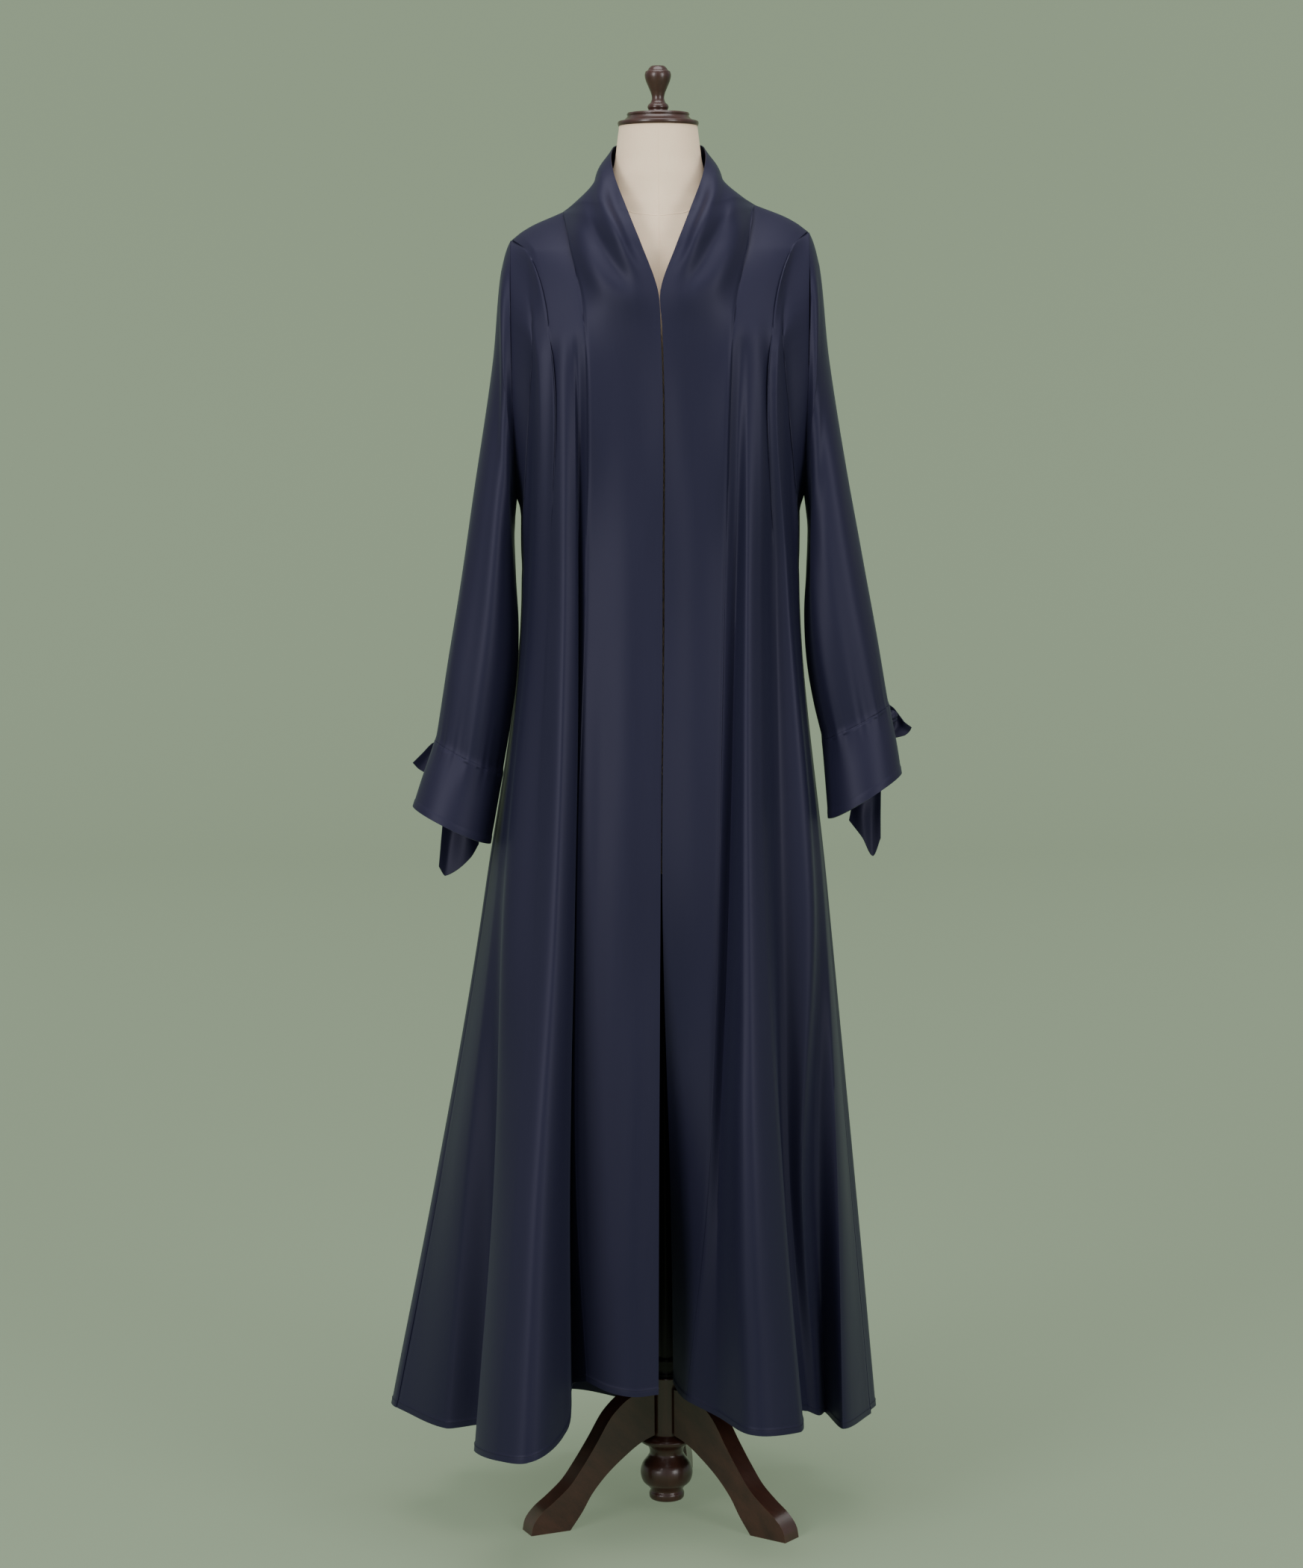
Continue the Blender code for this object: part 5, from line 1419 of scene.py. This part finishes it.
def run_tree(name, tree, lines, values):
    """Run a Geometry Nodes tree over rows of edges and keep the result as a plain mesh."""
    points, edges = [], []
    for line, closed in lines:
        start = len(points)
        points += [tuple(p) for p in line]
        edges += [(start + k, start + k + 1) for k in range(len(line) - 1)]
        if closed:
            edges.append((start + len(line) - 1, start))
    mesh = bpy.data.meshes.new(name + "_line")
    mesh.from_pydata(points, edges, [])
    item = bpy.data.objects.new(name, mesh)
    bpy.context.collection.objects.link(item)
    modifier = item.modifiers.new("sew", "NODES")
    modifier.node_group = tree
    for socket in tree.interface.items_tree:
        if socket.item_type == "SOCKET" and socket.in_out == "INPUT" and socket.name in values:
            modifier[socket.identifier] = values[socket.name]
    made = bpy.data.meshes.new_from_object(item.evaluated_get(bpy.context.evaluated_depsgraph_get()))
    item.modifiers.remove(modifier)
    item.data = made
    bpy.data.meshes.remove(mesh)
    made.name = name
    return item


# %% Sew the hem and the cuffs
HEM_STITCH = 0.0076


def line_at(grid, normals, gap, distance, lift):
    """Line along the cloth at a distance from an edge, lifted off the outer face."""
    line = []
    for c in range(len(grid)):
        order = np.argsort(gap[c])
        spot = [np.interp(distance, gap[c][order], grid[c][order, k]) for k in range(3)]
        lean = unit(np.array([np.interp(distance, gap[c][order], normals[c][order, k]) for k in range(3)]))
        line.append(np.array(spot) + lean * lift)
    return line


LIFT = WALL / 2 + HEM_SWELL + 0.4 * STITCH_RADIUS
hem_lines = []
for name, (grid, normals) in hem_edges.items():
    hem_lines.append((line_at(grid, normals, edge_gap(grid, 1, 0), HEM_STITCH, LIFT), False))
hem_stitches = run_tree("hem_stitches", stitch_tree, hem_lines, {"Pitch": STITCH_PITCH})
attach(hem_stitches, "root")
cuff_lines = []
for word, (grid, normals, below) in cuff_grids.items():
    cuff_lines.append((line_at(grid, normals, below, CUFF_HEM - 0.0015, LIFT + 0.0003), True))
cuff_stitches = run_tree("cuff_stitches", stitch_tree, cuff_lines, {"Pitch": STITCH_PITCH})
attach(cuff_stitches, "root")
for item in (hem_stitches, cuff_stitches):
    print(item.name, len(item.data.polygons), "faces")

# %% [markdown]
# ## The dress form
#
# The form is an oval ring at each height, padded and covered in natural linen with a
# seam down the centre front and round the base of the neck. At the shoulder the rings
# are nearly ridges, so each carries its own power: 2 is an ellipse, less is sharper.

# %% Linen body
FORM_AROUND = 180
FORM_UP = 200
FORM_RINGS = (
    # z, half width, half depth, power of the oval
    (0.8400, 0.1500, 0.1100, 2.0), (0.9500, 0.1620, 0.1160, 2.0), (1.0500, 0.1480, 0.1080, 2.0),
    (1.1500, 0.1280, 0.0940, 2.0), (1.2800, 0.1380, 0.0980, 2.0), (1.4000, 0.1540, 0.1040, 2.0),
    (1.4800, 0.1610, 0.1020, 2.0), (1.5400, 0.1710, 0.0900, 1.9), (1.5800, 0.1770, 0.0800, 1.6),
    (1.6000, 0.1790, 0.0750, 1.4), (1.6100, 0.1755, 0.0720, 1.3), (1.6232, 0.1635, 0.0690, 1.2),
    (1.6446, 0.1175, 0.0635, 1.2), (1.6652, 0.0795, 0.0585, 1.5), (1.6780, 0.0660, 0.0560, 1.8),
    (1.6920, 0.0585, 0.0545, 2.0), (1.7080, 0.0540, 0.0525, 2.0), (1.7510, 0.0486, 0.0486, 2.0),
)
FORM_INSET = 0.0006


def form_ring(z, half_width, half_depth, power, around=FORM_AROUND):
    ring_points = []
    for k in range(around):
        turn = 2 * math.pi * k / around
        x = math.copysign(abs(math.cos(turn)) ** (2 / power), math.cos(turn))
        y = math.copysign(abs(math.sin(turn)) ** (2 / power), math.sin(turn))
        ring_points.append(((half_width - FORM_INSET) * x, (half_depth - FORM_INSET) * y, z))
    return ring_points


rows = []
heights = [row[0] for row in FORM_RINGS]
levels = np.unique(np.concatenate([np.linspace(heights[0], heights[-1], FORM_UP), heights]))
for z in levels:
    widths = [np.interp(z, heights, [row[k] for row in FORM_RINGS]) for k in (1, 2, 3)]
    rows.append(form_ring(z, *widths))
body_points = np.array(rows)
smooth = body_points.copy()
for _ in range(3):
    smooth[1:-1] = 0.25 * smooth[:-2] + 0.5 * smooth[1:-1] + 0.25 * smooth[2:]
body_points = smooth
count = len(rows)
faces = [tuple(range(FORM_AROUND - 1, -1, -1))]
for r in range(count - 1):
    for k in range(FORM_AROUND):
        n = (k + 1) % FORM_AROUND
        a, b = r * FORM_AROUND + k, r * FORM_AROUND + n
        faces.append((a, b, b + FORM_AROUND, a + FORM_AROUND))
faces.append(tuple((count - 1) * FORM_AROUND + k for k in range(FORM_AROUND)))
form = closed_piece("linen_form", settle(body_points.reshape(-1, 3)), faces, LINEN)
layer = form.data.uv_layers["cloth"].data
for polygon in form.data.polygons:
    if len(polygon.vertices) > 4:
        continue
    turns = []
    for loop in polygon.loop_indices:
        index = form.data.loops[loop].vertex_index
        turns.append((loop, index % FORM_AROUND, index // FORM_AROUND))
    wraps = max(t[1] for t in turns) - min(t[1] for t in turns) > 2
    for loop, k, r in turns:
        k = k + FORM_AROUND if wraps and k < 3 else k
        layer[loop].uv = (k / FORM_AROUND * 0.44, float(levels[r]))
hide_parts("form_body")
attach(form, "root")
print("linen form:", len(form.data.polygons), "faces")

# %% [markdown]
# Seams on the form are sewn ridges. A second tree sweeps a small round along a line,
# which suits welts, piping and cords alike.

# %% Form seams
welt_tree = bpy.data.node_groups.new("swept_welt", "GeometryNodeTree")
face = welt_tree.interface
face.new_socket("Geometry", in_out="INPUT", socket_type="NodeSocketGeometry")
for label, value in (("Radius", 0.0006), ("Step", 0.003)):
    socket = face.new_socket(label, in_out="INPUT", socket_type="NodeSocketFloat")
    socket.default_value = value
face.new_socket("Material", in_out="INPUT", socket_type="NodeSocketMaterial")
face.new_socket("Geometry", in_out="OUTPUT", socket_type="NodeSocketGeometry")
nodes, links = welt_tree.nodes, welt_tree.links
entry, exit_ = nodes.new("NodeGroupInput"), nodes.new("NodeGroupOutput")
as_curve = nodes.new("GeometryNodeMeshToCurve")
spaced = nodes.new("GeometryNodeResampleCurve")
spaced.mode = "LENGTH"
ring_shape = nodes.new("GeometryNodeCurvePrimitiveCircle")
ring_shape.inputs["Resolution"].default_value = 8
sweep = nodes.new("GeometryNodeCurveToMesh")
sweep.inputs["Fill Caps"].default_value = True
real = nodes.new("GeometryNodeRealizeInstances")
paint = nodes.new("GeometryNodeSetMaterial")
links.new(entry.outputs["Geometry"], as_curve.inputs["Mesh"])
links.new(as_curve.outputs["Curve"], spaced.inputs["Curve"])
links.new(entry.outputs["Step"], spaced.inputs["Length"])
links.new(entry.outputs["Radius"], ring_shape.inputs["Radius"])
links.new(spaced.outputs["Curve"], sweep.inputs["Curve"])
links.new(ring_shape.outputs["Curve"], sweep.inputs["Profile Curve"])
links.new(sweep.outputs["Mesh"], real.inputs["Geometry"])
links.new(real.outputs["Geometry"], paint.inputs["Geometry"])
links.new(entry.outputs["Material"], paint.inputs["Material"])
links.new(paint.outputs["Geometry"], exit_.inputs["Geometry"])

NECK_SEAM_Z = 1.650
WELT_SINK = 0.00025
front_column = 3 * FORM_AROUND // 4
centre_front = body_points[(levels > 1.40), front_column] + np.array([0, WELT_SINK, 0])
centre_back = body_points[(levels > 1.50), FORM_AROUND // 4] - np.array([0, WELT_SINK, 0])
neck_row = int(np.argmin(abs(levels - NECK_SEAM_Z)))
neck_line = []
for k in range(FORM_AROUND):
    lift = 0.010 * math.sin(2 * math.pi * k / FORM_AROUND)
    z = NECK_SEAM_Z + lift + 0.016 * abs(math.cos(2 * math.pi * k / FORM_AROUND)) ** 2
    spot = [np.interp(z, levels, body_points[:, k, axis]) for axis in range(3)]
    neck_line.append(np.array(spot) * np.array([0.995, 0.995, 1.0]))
seam_lines = [(settle(centre_front), False), (settle(centre_back), False), (settle(np.array(neck_line)), True)]
form_seams = run_tree("form_seams", welt_tree, seam_lines, {"Radius": 0.0006, "Step": 0.004, "Material": LINEN})
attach(form_seams, "root")
print("form seams:", len(form_seams.data.polygons), "faces")

# %% [markdown]
# ## Turned and sawn wood
#
# Everything round on the stand came off a lathe, so one helper spins a profile of
# radius and height. Profiles list the crisp beads and hollows, and points between them
# are drawn on a smooth curve, except where a groove has to stay sharp.

# %% Lathe helper
def lathe(name, profile, look, around=96, per_step=5, sharp=()):
    """Spin a profile of (radius, height), top first, about the stand's axis."""
    line = [(p[0], 0.0, p[1]) for p in profile]
    shares = []
    for k in range(len(line) - 1):
        steps = 1 if k in sharp else per_step
        shares += [k + step / steps for step in range(steps)]
    shares.append(len(line) - 1)
    curve = spline(line, shares)
    curve[:, 0] = np.maximum(curve[:, 0], 0.0004)
    points = []
    for radius, _, z in curve:
        for k in range(around):
            turn = 2 * math.pi * k / around
            points.append((AXIS.x + radius * math.cos(turn), AXIS.y + radius * math.sin(turn), z))
    faces = [tuple(range(around))]
    for r in range(len(curve) - 1):
        for k in range(around):
            n = (k + 1) % around
            faces.append((r * around + n, r * around + k, (r + 1) * around + k, (r + 1) * around + n))
    faces.append(tuple((len(curve) - 1) * around + k for k in range(around - 1, -1, -1)))
    return closed_piece(name, points, faces, look, angle=38.0)


CAP_PROFILE = ((0.0375, 1.7670), (0.0385, 1.7650), (0.0378, 1.7630), (0.0400, 1.7600),
               (0.0440, 1.7575), (0.0490, 1.7565), (0.0498, 1.7540), (0.0490, 1.7513))
FINIAL_PROFILE = ((0.0030, 1.8240), (0.0080, 1.8235), (0.0108, 1.8210), (0.0128, 1.8182), (0.0150, 1.8170),
                  (0.0162, 1.8125), (0.0150, 1.8060), (0.0115, 1.7975), (0.0082, 1.7890),
                  (0.0076, 1.7845), (0.0092, 1.7795), (0.0122, 1.7765), (0.0130, 1.7735),
                  (0.0118, 1.7705), (0.0135, 1.7673))
COLUMN_RADIUS = 0.0228
COLUMN_PROFILE = ((COLUMN_RADIUS - 0.0012, 0.1810), (COLUMN_RADIUS, 0.1798), (COLUMN_RADIUS, 0.1060),
                  (0.0325, 0.1025), (0.0352, 0.0990), (0.0330, 0.0950), (0.0240, 0.0890), (0.0214, 0.0805),
                  (0.0245, 0.0740), (0.0310, 0.0650), (0.0333, 0.0540), (0.0305, 0.0430),
                  (0.0225, 0.0350), (0.0205, 0.0315), (0.0223, 0.0270), (0.0212, 0.0205),
                  (0.0170, 0.0188))
neck_cap = lathe("neck_cap_turned", CAP_PROFILE, TURNED_WOOD)
finial = lathe("finial_turned", FINIAL_PROFILE, TURNED_WOOD, around=72, sharp=(3,))
column = lathe("column_turned", COLUMN_PROFILE, TURNED_WOOD, sharp=(0, 1, 2))
for item, node in ((neck_cap, "neck_cap"), (finial, "finial"), (column, "column")):
    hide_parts(node)
    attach(item, "root")
    print(node, len(item.data.polygons), "faces")

# %% [markdown]
# The legs are sawn from plank to a swept outline, then their edges are eased. We build
# the outline as two flat sides, let the bevel run round every long edge and read the
# grain along the plank.

# %% Legs
LEG_THICKNESS = 0.030
LEG_BEARINGS = {"leg_front_left": -66.0, "leg_front_right": 54.0, "leg_back": 174.0}
LEG_ROOT = COLUMN_RADIUS + SEAM_GAP
LEG_EASE = 0.0022
LEG_OUTLINE = (
    # distance from the axis, z
    (LEG_ROOT, 0.1680), (0.0450, 0.1660), (0.0635, 0.1570), (0.0830, 0.1390),
    (0.1030, 0.1080), (0.1230, 0.0790), (0.1395, 0.0580), (0.1600, 0.0410),
    (0.1800, 0.0260), (0.1900, 0.0130), (0.1930, 0.0000), (0.1400, 0.0000),
    (0.1235, 0.0215), (0.1100, 0.0430), (0.0903, 0.0650), (0.0640, 0.0865),
    (0.0400, 0.1020), (LEG_ROOT, 0.1085),
)


def leg_outline():
    """Outline with its swept runs drawn smoothly and its corners kept."""
    top = spline([(r, 0, z) for r, z in LEG_OUTLINE[:11]], np.linspace(0, 10, 51))
    under = spline([(r, 0, z) for r, z in LEG_OUTLINE[11:]], np.linspace(0, 6, 31))
    return np.vstack([top, under])[:, ::2]


def plank_leg(name, bearing):
    turn = math.radians(bearing)
    outward = Vector((math.sin(turn), -math.cos(turn), 0))
    sideways = Vector((math.cos(turn), math.sin(turn), 0))
    line = leg_outline()
    base = Vector((AXIS.x, AXIS.y, 0))
    points = []
    for sign in (-1, 1):
        points += [base + outward * r + Vector((0, 0, z)) + sideways * sign * LEG_THICKNESS / 2 for r, z in line]
    count = len(line)
    faces = [tuple(range(count)), tuple(range(2 * count - 1, count - 1, -1))]
    faces += [((k + 1) % count, k, k + count, (k + 1) % count + count) for k in range(count)]
    work = bmesh.new()
    made = [work.verts.new(p) for p in points]
    sides_made = [work.faces.new([made[i] for i in face]) for face in faces]
    rim = [edge for edge in work.edges if edge.calc_face_angle(0) > math.radians(60)]
    bmesh.ops.bevel(work, geom=rim, offset=LEG_EASE, segments=3, profile=0.5, affect="EDGES", clamp_overlap=True)
    points = [v.co.copy() for v in work.verts]
    work.verts.index_update()
    faces = [tuple(v.index for v in f.verts) for f in work.faces]
    work.free()
    return closed_piece(name, points, faces, LEG_WOOD[name], angle=30.0)


LEG_WOOD = {}
for name, bearing in LEG_BEARINGS.items():
    LEG_WOOD[name + "_sawn"] = wood_material("plank_" + name, (0.0, math.radians(52), math.radians(-bearing)))
    leg = plank_leg(name + "_sawn", bearing)
    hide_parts(name)
    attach(leg, "root")
    print(name, len(leg.data.polygons), "faces")

# %% [markdown]
# ## Steel tube
#
# The tube slides in a collar on top of the column and is held by a small thumb screw.

# %% Tube and collar
POLE_RADIUS = 0.0105
COLLAR_PROFILE = ((0.0112, 0.2045), (0.0150, 0.2040), (0.0158, 0.1995), (0.0150, 0.1950),
                  (0.0150, 0.1860), (0.0158, 0.1840), (0.0158, 0.1813))
pole = lathe("pole_tube", ((POLE_RADIUS, float(pole_high.z)), (POLE_RADIUS, float(pole_low.z))), STEEL, around=48)
collar = lathe("pole_collar_turned", COLLAR_PROFILE, STEEL, around=64, per_step=3)
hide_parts("pole")
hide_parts("pole_collar")
for item in (pole, collar):
    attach(item, "root")
    print(item.name, len(item.data.polygons), "faces")

# %% [markdown]
#
# Each piece of the abaya is a flat cut before it is sewn. The sizes are width by
# length of the cloth it is cut from, and the area is that of its real, tapering shape.

# %% Cut sizes
BODY_REST = ["linen_form"]
CUTS = {
    # piece: width and length of the rectangle it is cut from, area of the cut, how it is held, by what
    "front_panel_left": (0.15, 1.66, 0.165, "draped", BODY_REST),
    "front_panel_right": (0.15, 1.68, 0.130, "draped", BODY_REST),
    "side_front_left": (0.50, 1.46, 0.450, "draped", BODY_REST),
    "side_front_right": (0.46, 1.48, 0.420, "draped", BODY_REST),
    "back": (1.25, 1.58, 1.070, "draped", BODY_REST),
    "sleeve_left": (0.38, 0.64, 0.150, "hung", ["side_front_left_cloth"]),
    "sleeve_right": (0.38, 0.60, 0.140, "hung", ["side_front_right_cloth"]),
    "cuff_left": (0.30, 0.11, 0.0285, "hung", ["sleeve_left_cloth"]),
    "cuff_right": (0.30, 0.11, 0.0290, "hung", ["sleeve_right_cloth"]),
    "tie_tail_upper_left": (0.027, 0.042, 0.00085, "hung", ["tie_knot_left_cloth"]),
    "tie_tail_upper_right": (0.032, 0.042, 0.0009, "hung", ["tie_knot_right_cloth"]),
    "tie_tail_hanging_left": (0.052, 0.170, 0.0063, "hung", ["tie_knot_left_cloth"]),
    "tie_tail_hanging_right": (0.046, 0.180, 0.0047, "hung", ["tie_knot_right_cloth"]),
}


def wall_area(item):
    """Area of one face of a closed wall, in square metres."""
    return sum(polygon.area for polygon in item.data.polygons) / 2


for name, (width, length, area, held, rests) in CUTS.items():
    print(name, "one face", round(wall_area(cloth[name]), 4), "of", width, "by", length)
